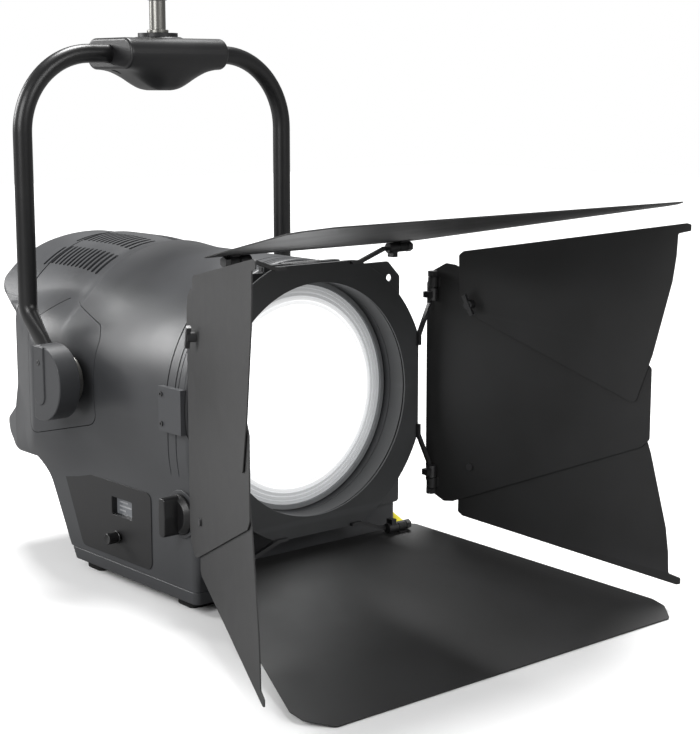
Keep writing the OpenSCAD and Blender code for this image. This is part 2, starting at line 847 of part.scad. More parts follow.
// A sheet outline given as [along, across] points, between two heights over the pin
module sheet_at(w) {
    translate([w, 0, 0]) rotate([90, 0, 90]) linear_extrude(sheet) mirror([1, 0]) children();
}

module sleeves() {
    for (m = [0, 1]) mirror([0, 0, m]) translate([0, 0, sleeve_u[0]]) difference() {
        union() {
            cylinder(r = 4.6, h = sleeve_u[1] - sleeve_u[0]);
            translate([0, -4.6, 0]) cube([leaf_w + 0.2, 9.2, sleeve_u[1] - sleeve_u[0]]);
        }
        translate([0, 0, -1]) cylinder(r = pin_r + run, h = 20);
    }
}

module main_leaf() {
    sheet_at(leaf_w) polygon([
        [-9, -123], [-6, -129], [4, -133], [230, -220], [246, -219], [top_leaf_l, -202],
        [top_leaf_l, 202], [246, 219], [230, 220], [4, 133], [-6, 129], [-9, 123],
    ]);
    sleeves();
}

module side_leaf() {
    sheet_at(leaf_w) difference() {
        polygon([
            [-9, -100], [-4, -112], [12, -121], [22, -120], [220, -42], [side_leaf_l, -34],
            [side_leaf_l, 34], [220, 42], [22, 120], [12, 121], [-4, 112], [-9, 100],
        ]);
        for (u = [-1, 1]) translate([wing_v, u * wing_u]) circle(2 + run);
    }
    sleeves();
}

// Fold-out wing on a side leaf, outline as [along, across]
module wing(w) {
    sheet_at(w) difference() {
        polygon([
            [27, 130], [32, 134], [258, 171], [262, 170], [262, 164], [250, 161], [249, 140],
            [246, 117], [229, 47], [213, -1], [36, 74], [28, 82],
        ]);
        translate([wing_v, wing_u]) circle(2 + run);
    }
}

inner_wing = leaf_w - 0.6 - sheet;
outer_wing = leaf_w + sheet + 0.6;

// Screw with a cross bar that clamps a wing to its leaf, seen from the wing's side
module wing_lever(side) {
    translate([leaf_w + sheet / 2, -wing_v, wing_u]) rotate([0, side * 90, 0]) {
        translate([0, 0, -2.4]) cylinder(r = 3.5, h = 1.6);
        translate([0, 0, -1]) cylinder(r = 2, h = 4);
        translate([0, 0, 2.6]) cylinder(r = 4.5, h = 8);
        rotate([0, 0, 25]) translate([-10.5, -2, 7.5]) cube([21, 4, 4]);
    }
}

module top_leaf() {
    color("#333334") at_hinge(-90, top_hinge, top_open) main_leaf();
}

module bottom_leaf() {
    color("#333334") at_hinge(90, top_hinge, top_open) main_leaf();
}

module right_leaf() {
    color("#333334") at_hinge(0, side_hinge, right_open) side_leaf();
}

module left_leaf() {
    color("#333334") at_hinge(180, side_hinge, left_open) side_leaf();
}

module right_upper_wing() {
    color("#333334") at_hinge(0, side_hinge, right_open) wing(inner_wing);
}

module right_lower_wing() {
    color("#333334") at_hinge(0, side_hinge, right_open) mirror([0, 0, 1]) wing(outer_wing);
}

module left_lower_wing() {
    color("#333334") at_hinge(180, side_hinge, left_open) wing(inner_wing);
}

module left_upper_wing() {
    color("#333334") at_hinge(180, side_hinge, left_open) mirror([0, 0, 1]) wing(outer_wing);
}

module wing_levers() {
    wing_lever(-1);
    mirror([0, 0, 1]) wing_lever(1);
}

module right_wing_levers() {
    color("#161617") at_hinge(0, side_hinge, right_open) wing_levers();
}

module left_wing_levers() {
    color("#161617") at_hinge(180, side_hinge, left_open) wing_levers();
}

front_bezel();
barrel_shell();
rear_shell();
rear_hood();
left_side_cover();
right_side_cover();
base_tray();
feet();
accessory_holder();
holder_brackets();
holder_latch();
housing_screws();
lens();
lens_retainer();
control_panel();
display_window();
encoder_shaft();
encoder_knob();
knob_seat();
focus_knob();
idler_gear();
cross_shaft();
lead_screw();
cup_gearbox();
focus_cup();
carriage_rails();
carriage();
led_module();
heat_sink();
fan_frame();
fan_rotor();
power_supply();
control_board();
rear_panel();
panel_connectors();
pivot_hubs();
yoke_arm_left();
yoke_arm_right();
pivot_disc_left();
pivot_disc_right();
yoke_head_top();
yoke_head_base();
spigot();
spigot_flange();
spigot_nut();
door_base_plate();
door_ring();
hinge_straps();
hinge_clamps();
top_leaf();
bottom_leaf();
left_leaf();
right_leaf();
left_upper_wing();
left_lower_wing();
right_upper_wing();
right_lower_wing();
left_wing_levers();
right_wing_levers();
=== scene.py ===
import json
import math

import bmesh
import bpy
from mathutils import Matrix, Vector


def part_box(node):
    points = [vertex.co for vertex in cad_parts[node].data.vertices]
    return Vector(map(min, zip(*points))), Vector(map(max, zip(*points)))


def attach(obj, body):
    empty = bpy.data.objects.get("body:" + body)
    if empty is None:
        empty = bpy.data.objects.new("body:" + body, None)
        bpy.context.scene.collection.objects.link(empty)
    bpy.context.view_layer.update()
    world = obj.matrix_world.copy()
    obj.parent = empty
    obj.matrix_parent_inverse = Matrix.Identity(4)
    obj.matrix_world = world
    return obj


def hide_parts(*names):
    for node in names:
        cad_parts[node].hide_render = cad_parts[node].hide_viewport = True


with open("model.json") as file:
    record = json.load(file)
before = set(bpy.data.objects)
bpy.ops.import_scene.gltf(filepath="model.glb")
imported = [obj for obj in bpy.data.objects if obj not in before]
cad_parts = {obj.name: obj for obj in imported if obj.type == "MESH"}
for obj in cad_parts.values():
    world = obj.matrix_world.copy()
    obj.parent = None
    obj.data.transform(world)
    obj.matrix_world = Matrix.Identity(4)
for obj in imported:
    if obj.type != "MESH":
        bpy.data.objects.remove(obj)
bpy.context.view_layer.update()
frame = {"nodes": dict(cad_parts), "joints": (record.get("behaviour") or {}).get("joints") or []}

# Everything below is drawn in millimetres and turned to metres when a mesh is made.
MM = 0.001
X, Y, Z = 0, 1, 2


def low(node, axis):
    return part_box(node)[0][axis] / MM


def high(node, axis):
    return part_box(node)[1][axis] / MM


# ---------- sizes taken from the frame ----------

BARREL_R = high("front_bezel", X)
BASE_HALF = high("base_tray", X)
BASE_FRONT = low("base_tray", Y)
BASE_Z = low("base_tray", Z)
TRAY_END = high("base_tray", Y)
DECK_Z = high("base_tray", Z) - 4.3
FLOOR_Z = low("feet", Z)
REAR_HALF = high("rear_shell", X)
REAR_TOP = high("rear_shell", Z)
REAR_END = high("rear_shell", Y)
HOOD_END = high("rear_hood", Y)
LENS_R = high("lens", X)
LENS_Y = low("lens", Y)
RING_FLAT = high("door_ring", X)
FRAME_HALF = high("door_base_plate", X)
PANEL_X = low("control_panel", X)
SPIGOT_TOP = high("spigot", Z)

JOINT_AT = {j["name"]: [v / MM for v in j["pos_m"]] for j in frame["joints"] if "pos_m" in j}
PIVOT_Y, PIVOT_Z = JOINT_AT["yoke_tilt"][1:]
ARM_Y = JOINT_AT["spigot_pan"][Y]
HEAD_TOP = JOINT_AT["spigot_pan"][Z]
TUBE_R = 9.4
ARM_X = high("yoke_arm_right", X) - TUBE_R
HEAD_HALF = 17.0
YOKE_Z = HEAD_TOP - HEAD_HALF
KNOB_Y, KNOB_Z = JOINT_AT["focus_knob_turn"][1:]
ENCODER_Y, ENCODER_Z = JOINT_AT["encoder_turn"][1:]
CUP_X, CUP_Y = JOINT_AT["focus_cup_turn"][:2]

WALL = 3.5           # thickness of the cast shells
REAR_CORNER = 62.0   # corner radius of the rear body, seen from behind
REAR_LOW = -100.0
REAR_SHOULDER = 85.0  # where its flat sides would end, under the round roof
SHOULDER_DROP = 0.1  # how fast they sink towards the rear
TAPER_Y = 275.0      # where its sides begin to draw in,
HOOD_HALF = 104.0    # to this half width at the hood's rear edge
SHEET = 1.2          # thickness of the leaves and wings
LEAF_OFFSET = 5.3    # from a hinge pin out to its leaf


# ---------- materials ----------

def linear(hex_colour):
    """sRGB hex to linear RGBA."""
    values = [int(hex_colour[i:i + 2], 16) / 255 for i in (1, 3, 5)]
    return [v / 12.92 if v <= 0.04045 else ((v + 0.055) / 1.055) ** 2.4 for v in values] + [1]


def add(tree, kind, inputs=None, **settings):
    """Adds a node, sets its attributes, and fills its inputs with values or outputs."""
    node = tree.nodes.new(kind)
    for key, value in settings.items():
        setattr(node, key, value)
    for key, value in (inputs or {}).items():
        if isinstance(value, bpy.types.NodeSocket):
            tree.links.new(value, node.inputs[key])
        else:
            node.inputs[key].default_value = value
    return node


def mixed(tree, factor, first, second):
    """Goes from the first colour to the second with factor; each may be another node's output."""
    inputs = {"Factor": factor, "A": first, "B": second}
    return add(tree, "ShaderNodeMix", inputs, data_type="RGBA").outputs["Result"]


def ranged(tree, value, inputs, **settings):
    """Maps a value onto another range."""
    return add(tree, "ShaderNodeMapRange", {"Value": value, **inputs}, **settings).outputs["Result"]


def per_metre(size_mm):
    """Texture scale that repeats about once in size_mm, on coordinates in metres."""
    return 1 / (size_mm * MM)


def start_material(name):
    material = bpy.data.materials.new(name)
    material.use_nodes = True
    tree = material.node_tree
    tree.nodes.clear()
    where = add(tree, "ShaderNodeTexCoord").outputs["Object"]
    return material, tree, where


def end_material(tree, shader):
    add(tree, "ShaderNodeOutputMaterial", {"Surface": shader.outputs[0]})


def coated(name, colour, worn, roughness, grain_mm, depth_mm, ior=1.5):
    """A painted or moulded surface: an even colour, a fine grain in relief, slow changes of
    gloss from handling, and a paler tone where edges have been rubbed."""
    material, tree, where = start_material(name)
    cloud = add(tree, "ShaderNodeTexNoise", {
        "Vector": where, "Scale": per_metre(60), "Detail": 4.0, "Roughness": 0.55}).outputs["Fac"]
    grain = add(tree, "ShaderNodeTexNoise", {
        "Vector": where, "Scale": per_metre(grain_mm), "Detail": 2.0, "Roughness": 0.5})
    shade = ranged(tree, cloud, {"From Min": 0.35, "From Max": 0.75, "To Max": 0.3})
    tone = mixed(tree, shade, linear(colour), linear(worn))
    edge = ranged(tree, add(tree, "ShaderNodeNewGeometry").outputs["Pointiness"],
                  {"From Min": 0.53, "From Max": 0.62, "To Max": 0.35})
    gloss = ranged(tree, cloud, {"From Min": 0.3, "From Max": 0.7,
                                 "To Min": roughness - 0.04, "To Max": roughness + 0.04})
    relief = add(tree, "ShaderNodeBump", {
        "Height": grain.outputs["Fac"], "Strength": 0.35, "Distance": depth_mm * MM})
    end_material(tree, add(tree, "ShaderNodeBsdfPrincipled", {
        "Base Color": mixed(tree, edge, tone, linear(worn)), "Roughness": gloss,
        "Normal": relief.outputs["Normal"], "IOR": ior}))
    return material


def metal(name, colour, roughness, stretch):
    """Bare metal with fine tool marks, drawn out along one axis by stretch."""
    material, tree, where = start_material(name)
    squeezed = add(tree, "ShaderNodeMapping", {"Vector": where, "Scale": stretch})
    marks = add(tree, "ShaderNodeTexNoise", {
        "Vector": squeezed.outputs["Vector"], "Scale": per_metre(2.5), "Detail": 5.0,
        "Roughness": 0.6}).outputs["Fac"]
    gloss = ranged(tree, marks, {"To Min": roughness - 0.1, "To Max": roughness + 0.12})
    brighter = [min(1, 1.25 * v) for v in linear(colour)[:3]] + [1]
    relief = add(tree, "ShaderNodeBump", {
        "Height": marks, "Strength": 0.15, "Distance": 0.1 * MM})
    end_material(tree, add(tree, "ShaderNodeBsdfPrincipled", {
        "Base Color": mixed(tree, marks, linear(colour), brighter), "Roughness": gloss,
        "Normal": relief.outputs["Normal"], "Metallic": 1.0}))
    return material


def lit_lens():
    """Pressed borosilicate lens with the lamp on: white at the middle, and greyer towards the rim,
    where less light comes through."""
    material, tree, where = start_material("lit_borosilicate_glass")
    flat = add(tree, "ShaderNodeVectorMath", {0: where, 1: (1, 0, 1)}, operation="MULTIPLY")
    radius = add(tree, "ShaderNodeVectorMath", {0: flat.outputs["Vector"]}, operation="LENGTH")
    ring = add(tree, "ShaderNodeTexNoise", {
        "W": radius.outputs["Value"], "Scale": per_metre(9), "Detail": 1.0}, noise_dimensions="1D")
    wobble = add(tree, "ShaderNodeMath", {
        0: ring.outputs["Fac"], 1: 0.02, 2: radius.outputs["Value"]}, operation="MULTIPLY_ADD")
    glow = ranged(tree, wobble.outputs["Value"], {
        "From Min": 0.74 * LENS_R * MM, "From Max": 1.0 * LENS_R * MM,
        "To Min": 1.7, "To Max": 0.2}, interpolation_type="SMOOTHSTEP")
    end_material(tree, add(tree, "ShaderNodeBsdfPrincipled", {
        "Base Color": linear("#c9cccf"), "Roughness": 0.16, "IOR": 1.47,
        "Emission Color": linear("#ffffff"), "Emission Strength": glow}))
    return material


def phosphor():
    """Silicone-bound phosphor over the light-emitting chips, whose grid shows faintly."""
    material, tree, where = start_material("phosphor_silicone")
    chips = add(tree, "ShaderNodeTexBrick", {
        "Vector": where, "Color1": linear("#e8d77a"), "Color2": linear("#e0cd66"),
        "Mortar": linear("#b9a64a"), "Scale": per_metre(4), "Mortar Size": 0.04})
    end_material(tree, add(tree, "ShaderNodeBsdfPrincipled", {
        "Base Color": chips.outputs["Color"], "Roughness": 0.35, "IOR": 1.43}))
    return material


def screen():
    """Backlit liquid-crystal window: an even grey glow with the fine grid of its dots."""
    material, tree, where = start_material("lcd_window")
    dots = add(tree, "ShaderNodeTexVoronoi", {"Vector": where, "Scale": per_metre(0.6)})
    tone = mixed(tree, dots.outputs["Distance"], linear("#5f6163"), linear("#54565a"))
    end_material(tree, add(tree, "ShaderNodeBsdfPrincipled", {
        "Base Color": tone, "Roughness": 0.12, "Emission Color": tone, "Emission Strength": 0.5}))
    return material


MATERIALS = {
    # Polyester powder coat on an aluminium casting: mid grey, satin, with a fine orange peel.
    "housing_paint": coated("powder_coated_casting", "#38393b", "#4a4b4e", 0.42, 1.1, 0.12),
    # The same coat on the steel ring and slide-in frame.
    "frame_paint": coated("powder_coated_ring_steel", "#3b3c3d", "#4e4f51", 0.45, 0.9, 0.08),
    # Heat-proof matt black on the barn-door sheets: soft sheen, fine tooth.
    "leaf_paint": coated("matt_black_sheet_steel", "#292929", "#3a3a3c", 0.5, 0.8, 0.06),
    # Black enamel on the bent yoke tube: smoother, with a clear long highlight.
    "yoke_paint": coated("black_enamelled_tube", "#0f0f10", "#232324", 0.34, 1.4, 0.05),
    # Black powder coat on the small castings of the yoke.
    "black_cast": coated("black_powder_coated_casting", "#161617", "#2b2b2d", 0.4, 0.9, 0.08),
    # Chemically blackened steel of the clamps, straps, screws and levers.
    "black_steel": coated("blackened_steel", "#161617", "#303032", 0.38, 0.7, 0.05, ior=1.8),
    # Turned steel of the spigot and shafts, with circular tool marks.
    "bright_steel": metal("turned_steel", "#84837f", 0.3, (0.4, 0.4, 6.0)),
    # Milled and extruded aluminium.
    "bare_aluminium": metal("milled_aluminium", "#a3a5a8", 0.38, (5.0, 0.5, 0.5)),
    # Printed polyester overlay on the control panel: dark, matt and even.
    "panel_paint": coated("polyester_overlay", "#1c1c1d", "#272728", 0.5, 0.5, 0.03),
    "lens_glass": lit_lens(),
    "display": screen(),
    # Moulded ABS of the knobs, connectors and fan: black, with a soft gloss.
    "black_plastic": coated("moulded_abs", "#0f0f10", "#242425", 0.36, 0.8, 0.04, ior=1.53),
    # Moulded yellow acetal of the pole cup.
    "cup_yellow": coated("yellow_acetal", "#d9cc2e", "#e6dc52", 0.4, 1.0, 0.05, ior=1.48),
    # Moulded neoprene of the feet: deep black and dull.
    "foot_rubber": coated("neoprene_rubber", "#121212", "#1d1d1d", 0.75, 0.8, 0.1),
    "led_phosphor": phosphor(),
    # Solder-masked glass-fibre board.
    "circuit_board": coated("solder_masked_board", "#1c5733", "#2a6b45", 0.3, 0.8, 0.04),
}
# Clip ring round the lens: pale, a painted glow that stands for the lamp's light falling on it.
CLIP_PAINTED_GLOW = coated("clip_ring_painted_lamp_glow", "#8c8e90", "#9a9c9e", 0.5, 1.0, 0.04)
# White-grey silk-screened marks.
PRINT = coated("silk_screen_ink", "#9b9c9e", "#a9aaac", 0.55, 0.5, 0.02)


# ---------- mesh helpers ----------

def fillet(points, radius, steps=6):
    """Rounds the corners of a closed outline. A point may hold its own radius as a third number."""
    out = []
    count = len(points)
    for i, point in enumerate(points):
        here = Vector(point[:2])
        before = Vector(points[i - 1][:2]) - here
        after = Vector(points[(i + 1) % count][:2]) - here
        wanted = point[2] if len(point) > 2 else radius
        half = before.angle(after) / 2
        reach = min(wanted / math.tan(half), 0.49 * before.length, 0.49 * after.length)
        if reach < 0.02 or half > math.radians(89):
            out.append(tuple(here))
            continue
        real = reach * math.tan(half)
        inward = (before.normalized() + after.normalized()).normalized()
        centre = here + inward * (real / math.sin(half))
        first = here + before.normalized() * reach - centre
        last = here + after.normalized() * reach - centre
        sweep = first.angle_signed(last)
        for n in range(steps + 1):
            arm = first.copy()
            arm.rotate(Matrix.Rotation(-sweep * n / steps, 2))
            out.append(tuple(centre + arm))
    return out


def circle(radius, steps, centre=(0, 0)):
    return [(centre[0] + radius * math.cos(math.tau * n / steps),
             centre[1] + radius * math.sin(math.tau * n / steps)) for n in range(steps)]


def in_scene(name, data):
    obj = bpy.data.objects.new(name, data)
    bpy.context.scene.collection.objects.link(obj)
    return obj


def clean(mesh, crease):
    """Welds a mesh, turns its normals outward, and makes its edges sharp where faces meet at
    more than crease degrees."""
    bm = bmesh.new()
    bm.from_mesh(mesh)
    bmesh.ops.remove_doubles(bm, verts=bm.verts, dist=0.005 * MM)
    bmesh.ops.dissolve_degenerate(bm, edges=bm.edges, dist=0.002 * MM)
    bmesh.ops.recalc_face_normals(bm, faces=bm.faces)
    bm.to_mesh(mesh)
    bm.free()
    mesh.shade_smooth()
    mesh.set_sharp_from_angle(angle=math.radians(crease))


def skin(name, rings, wrap=False, crease=35):
    """Joins rings of points, each closed, into one closed surface. wrap joins the last ring to the
    first; otherwise the two end rings are capped."""
    count = len(rings[0])
    vertices = [v for ring in rings for v in ring]
    faces = []
    for i in range(len(rings) if wrap else len(rings) - 1):
        a, b = i * count, ((i + 1) % len(rings)) * count
        for j in range(count):
            k = (j + 1) % count
            faces.append((a + j, a + k, b + k, b + j))
    if not wrap:
        faces.append(tuple(range(count)))
        faces.append(tuple(range((len(rings) - 1) * count, len(rings) * count)))
    mesh = bpy.data.meshes.new(name)
    mesh.from_pydata([[c * MM for c in v] for v in vertices], [], faces)
    clean(mesh, crease)
    return in_scene(name, mesh)


def turned(name, profile, axis, centre=(0, 0, 0), steps=96, crease=35):
    """Turns a closed profile of (radius, along) points about an axis through centre."""
    rings = []
    for n in range(steps):
        turn = math.tau * n / steps
        c, s = math.cos(turn), math.sin(turn)
        ring = []
        for radius, along in profile:
            local = {X: (along, radius * c, radius * s), Y: (radius * c, along, radius * s),
                     Z: (radius * c, radius * s, along)}[axis]
            ring.append([local[i] + centre[i] for i in range(3)])
        rings.append(ring)
    return skin(name, rings, wrap=True, crease=crease)


def baked_mesh(obj):
    """The mesh that an object shows with its modifiers or curve settings."""
    bpy.context.view_layer.update()
    seen = obj.evaluated_get(bpy.context.evaluated_depsgraph_get())
    return bpy.data.meshes.new_from_object(seen)


def plate(name, outline, thick, place, holes=(), edge=0.3):
    """A flat plate with softened edges, drawn in XY and centred on Z, then moved by place."""
    curve = bpy.data.curves.new(name, "CURVE")
    curve.dimensions = "2D"
    curve.fill_mode = "BOTH"
    curve.extrude = (thick / 2 - edge) * MM
    curve.bevel_depth = edge * MM
    curve.bevel_resolution = 2
    curve.offset = -edge * MM
    for points in (outline, *holes):
        spline = curve.splines.new("POLY")
        spline.points.add(len(points) - 1)
        for spot, (x, y) in zip(spline.points, points):
            spot.co = (x * MM, y * MM, 0, 1)
        spline.use_cyclic_u = True
    shape = in_scene(name, curve)
    mesh = baked_mesh(shape)
    bpy.data.objects.remove(shape)
    bpy.data.curves.remove(curve)
    mesh.transform(place)
    clean(mesh, 40)
    return in_scene(name, mesh)


def axes(first, second, third, origin):
    """Matrix that sends X, Y and Z to three directions, with its origin in millimetres."""
    matrix = Matrix((first, second, third)).transposed().to_4x4()
    matrix.translation = Vector(origin) * MM
    return matrix


def facing_x(x):
    """Puts a plate's XY in the Y-Z plane at x."""
    return axes((0, 1, 0), (0, 0, 1), (1, 0, 0), (x, 0, 0))


def facing_y(y):
    """Puts a plate's XY in the X-Z plane at y."""
    return axes((1, 0, 0), (0, 0, 1), (0, -1, 0), (0, y, 0))


def facing_z(z):
    return Matrix.Translation((0, 0, z * MM))


def prism(outline, start, stop, axis):
    """A sharp cutter: an outline made solid from start to stop along an axis."""
    def put(point, along):
        u, v = point
        return {X: (along, u, v), Y: (u, along, v), Z: (u, v, along)}[axis]
    return skin("cutter", [[put(p, start) for p in outline], [put(p, stop) for p in outline]])


def joined(objects, name):
    """Joins meshes into one object."""
    bm = bmesh.new()
    for obj in objects:
        bm.from_mesh(obj.data)
        bpy.data.objects.remove(obj)
    mesh = bpy.data.meshes.new(name)
    bm.to_mesh(mesh)
    bm.free()
    mesh.shade_smooth()
    mesh.set_sharp_from_angle(angle=math.radians(35))
    return in_scene(name, mesh)


def cut(target, cutter, operation="DIFFERENCE"):
    """Takes the cutter out of target, or with INTERSECT keeps only what they share. The cutter
    is removed, and the new edges stay sharp."""
    modifier = target.modifiers.new("cut", "BOOLEAN")
    modifier.object = cutter
    modifier.operation = operation
    modifier.solver = "EXACT"
    mesh = baked_mesh(target)
    target.modifiers.clear()
    target.data = mesh
    bpy.data.objects.remove(cutter)
    mesh.set_sharp_from_angle(angle=math.radians(35))


def softened(obj, width):
    """Rounds the sharp edges of a piece."""
    bevel = obj.modifiers.new("soft_edge", "BEVEL")
    bevel.width = width * MM
    bevel.segments = 2
    bevel.limit_method = "ANGLE"
    bevel.angle_limit = math.radians(40)


def copy_of(obj, name):
    twin = obj.copy()
    twin.data = obj.data.copy()
    twin.name = name
    bpy.context.scene.collection.objects.link(twin)
    return twin


def fit(obj, slot, body, *nodes, material=None):
    """Gives a piece its finish and the body that it rides on, and hides the nodes it stands for."""
    obj.data.materials.clear()
    obj.data.materials.append(material or MATERIALS[slot])
    even = obj.modifiers.new("even_shading", "WEIGHTED_NORMAL")
    even.keep_sharp = True
    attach(obj, body)
    if nodes:
        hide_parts(*nodes)
    return obj


# ---------- housing casting ----------

def smooth_max(a, b, blend):
    near = max(blend - abs(a - b), 0) / blend
    return max(a, b) + near * near * blend / 4


def smooth_step(t):
    t = min(max(t, 0), 1)
    return t * t * (3 - 2 * t)


def smooth_min(a, b, blend):
    return -smooth_max(-a, -b, blend)


def shoulder(y):
    return REAR_SHOULDER - SHOULDER_DROP * max(y - TAPER_Y, 0)


def box_radius(turn, y):
    """Distance from the beam axis to the rounded box, in one direction."""
    half_z = (shoulder(y) - REAR_LOW) / 2
    mid_z = (shoulder(y) + REAR_LOW) / 2
    inside, outside = 0.0, 260.0
    for _ in range(24):
        r = (inside + outside) / 2
        qx = abs(r * math.cos(turn)) - (REAR_HALF - REAR_CORNER)
        qz = abs(r * math.sin(turn) - mid_z) - (half_z - REAR_CORNER)
        corner = math.hypot(max(qx, 0), max(qz, 0)) + min(max(qx, qz), 0)
        if corner > REAR_CORNER:
            outside = r
        else:
            inside = r
    return r


def rear_radius(turn, y):
    """Distance from the beam axis to the rear body: a rounded box under a round roof, with its
    sides drawn in towards the rear."""
    roof = REAR_TOP if math.sin(turn) > 0 else 0
    drawn_in = (REAR_HALF - HOOD_HALF) * max(y - TAPER_Y, 0) / (HOOD_END - TAPER_Y)
    side = (REAR_HALF - drawn_in) / max(abs(math.cos(turn)), 1e-6)
    return smooth_min(smooth_max(box_radius(turn, y), roof, 10), side, 0.01 + min(drawn_in, 12))


NECK_Y = 235.0       # behind here the barrel's own circle shrinks out of the rear body's way
NECK_SLOPE = 0.6
FLARE_END = 250.0    # where the flare from the barrel reaches the rear body's full size
FLARE_SLOPE = 0.32
SLANT = ((247.0, DECK_Z), (298.0, -80.0))   # the base's rear edge, seen from the side
BASE_EDGE_R = 6.0
GROOVES = (47.0, 60.0)
GROOVE_W = 1.4
GROOVE_DEPTH = 1.2
GROOVE_LOW = -0.45   # they stop at this height on the side, as a sine of the direction


def base_half(y):
    """Half the base's width, drawn in at its rounded front edges."""
    short = max(BASE_FRONT + BASE_EDGE_R - y, 0)
    return BASE_HALF - BASE_EDGE_R + math.sqrt(BASE_EDGE_R ** 2 - min(short, BASE_EDGE_R) ** 2)


def base_depth(y):
    (y0, z0), (y1, z1) = SLANT
    share = min(max((y - y0) / (y1 - y0), 0), 1)
    return -(z0 + share * (z1 - z0))


def casting_radius(turn, y, shrink):
    """Outer radius of the casting at one station, or of its cavity when shrink is its wall."""
    c, s = abs(math.cos(turn)), math.sin(turn)
    barrel = BARREL_R - shrink - NECK_SLOPE * max(y - NECK_Y, 0)
    if any(g <= y <= g + GROOVE_W for g in GROOVES) and s > GROOVE_LOW and not shrink:
        barrel -= GROOVE_DEPTH
    taper = FLARE_SLOPE * smooth_max(0, FLARE_END - y, 46)
    radius = smooth_max(barrel, rear_radius(turn, y) - shrink - taper, 16)
    if s < 0:
        base = min((base_half(y) - shrink) / max(c, 1e-6), (base_depth(y) - shrink) / -s)
        radius = smooth_max(radius, base, 0.01 + 24 * smooth_step(-s / 0.4))
    return radius


def casting_turns(y, steps):
    """Directions round the section, with one that always runs along the base's bottom corner."""
    corner = math.atan2(base_depth(y), base_half(y))
    stops = [-math.pi / 2, -corner, 0, math.pi / 2]
    shares = [0.22, 0.33, 0.45]
    right = []
    for (a, b), share in zip(zip(stops, stops[1:]), shares):
        n = round(steps / 2 * share)
        right += [a + (b - a) * i / n for i in range(n)]
    left = [math.pi - t for t in right[1:]][::-1]
    return right + [math.pi / 2] + left


def casting_stations(first, last, pitch):
    """Places along the beam, closer together at the base's rounded front edge and the grooves."""
    count = round((last - first) / pitch)
    stations = {round(first + (last - first) * i / count, 3) for i in range(count + 1)}
    for i in range(7):
        short = 1 - math.cos(math.pi / 2 * i / 6)
        stations.add(round(BASE_FRONT + BASE_EDGE_R * short, 3))
    for groove in GROOVES:
        stations |= {groove - 0.12, groove, groove + GROOVE_W, groove + GROOVE_W + 0.12}
    return sorted(s for s in stations if first <= s <= last)


def casting_solid(name, first, last, shrink, steps, pitch):
    rings = []
    for y in casting_stations(first, last, pitch):
        ring = []
        for turn in casting_turns(y, steps):
            r = casting_radius(turn, y, shrink)
            ring.append((r * math.cos(turn), y, r * math.sin(turn)))
        rings.append(ring)
    return skin(name, rings, crease=38)


COVER = [(190, 62, 10), (258, 84, 14), (286, 60, 12), (286, -58, 12), (182, -34, 12), (182, 50, 16)]
COVER_MIDDLE = (236, 12)
COVER_GAP = 0.45     # half the gap between a cover and the casting


def cover_cutter(side, grow):
    """Prism round the pivot, grown by grow, that parts a side cover from the casting."""
    centre = Vector(COVER_MIDDLE)
    outline = []
    for u, v in fillet(COVER, 12):
        arm = Vector((u, v)) - centre
        outline.append(tuple(centre + arm * (1 + grow / arm.length)))
    ends = sorted((side * (REAR_HALF - 40), side * (REAR_HALF + 8)))
    return prism(outline, *ends, X)


VENT_GROUPS = ((10, 43), (56, 84))
VENT_START = 254.0
VENT_PITCH = 7.85
VENT_HALF = 2.2      # half a slot's width
BODY_SLOTS = range(12)
HOOD_SLOTS = range(12, 14)


def vent_cutters(rows):
    slots = []
    for side in (-1, 1):
        for near, far in VENT_GROUPS:
            for n in rows:
                y = VENT_START + VENT_PITCH * n
                inner, outer = sorted((side * near, side * far))
                slot = rectangle((inner, y - VENT_HALF), (outer, y + VENT_HALF))
                slots.append(prism(fillet(slot, 2, 4), REAR_TOP - 42, REAR_TOP + 8, Z))
    return slots


PANEL = [(99, -90), (259, -90), (223, -166), (99, -166)]
WELL = ((132, -123), (168, -105))     # display opening, low and high corners


def rectangle(low_corner, high_corner):
    (u0, v0), (u1, v1) = low_corner, high_corner
    return [(u0, v0), (u1, v0), (u1, v1), (u0, v1)]


def housing_casting():
    casting = casting_solid("housing_casting", BASE_FRONT, REAR_END, 0, 300, 2.2)
    cavity = casting_solid("cavity", BASE_FRONT + WALL, REAR_END + 2, WALL, 120, 6)
    cut(casting, cavity)
    front = turned("cutter", [(0, 20), (BARREL_R + 0.3, 20), (BARREL_R + 0.3, 43), (0, 43)], Y)
    cut(casting, front)
    covers = []
    for side, name in ((-1, "left_side_cover_shell"), (1, "right_side_cover_shell")):
        cover = copy_of(casting, name)
        cut(cover, cover_cutter(side, -COVER_GAP), "INTERSECT")
        hub = turned("cutter", [(0, -180), (13, -180), (13, 180), (0, 180)], X,
                     (0, PIVOT_Y, PIVOT_Z), 48)
        cut(cover, hub)
        covers.append(cover)
    tools = [cover_cutter(-1, COVER_GAP), cover_cutter(1, COVER_GAP)] + vent_cutters(BODY_SLOTS)
    for opening in (rectangle(*WELL), circle(5.5, 32, (KNOB_Y, KNOB_Z)),
                    circle(4.4, 32, (ENCODER_Y, ENCODER_Z))):
        tools.append(prism(opening, -BASE_HALF - 5, -BASE_HALF + 8, X))
    cut(casting, joined(tools, "cutter"))
    fit(casting, "housing_paint", "housing", "barrel_shell", "rear_shell")
    fit(covers[0], "housing_paint", "housing", "left_side_cover")
    fit(covers[1], "housing_paint", "housing", "right_side_cover")


# The hood seen from the side, from its roof down: upper hood, recess and lower lip.
HOOD_PROFILE = [(REAR_END, REAR_TOP), (396, REAR_TOP - 1, 22), (407, 124, 14), (HOOD_END, 108, 12),
                (HOOD_END, 76, 6), (349, 58, 10), (349, -36, 8), (HOOD_END, -66, 6), (404, -78, 10),
                (368, -92, 20), (REAR_END, -98)]


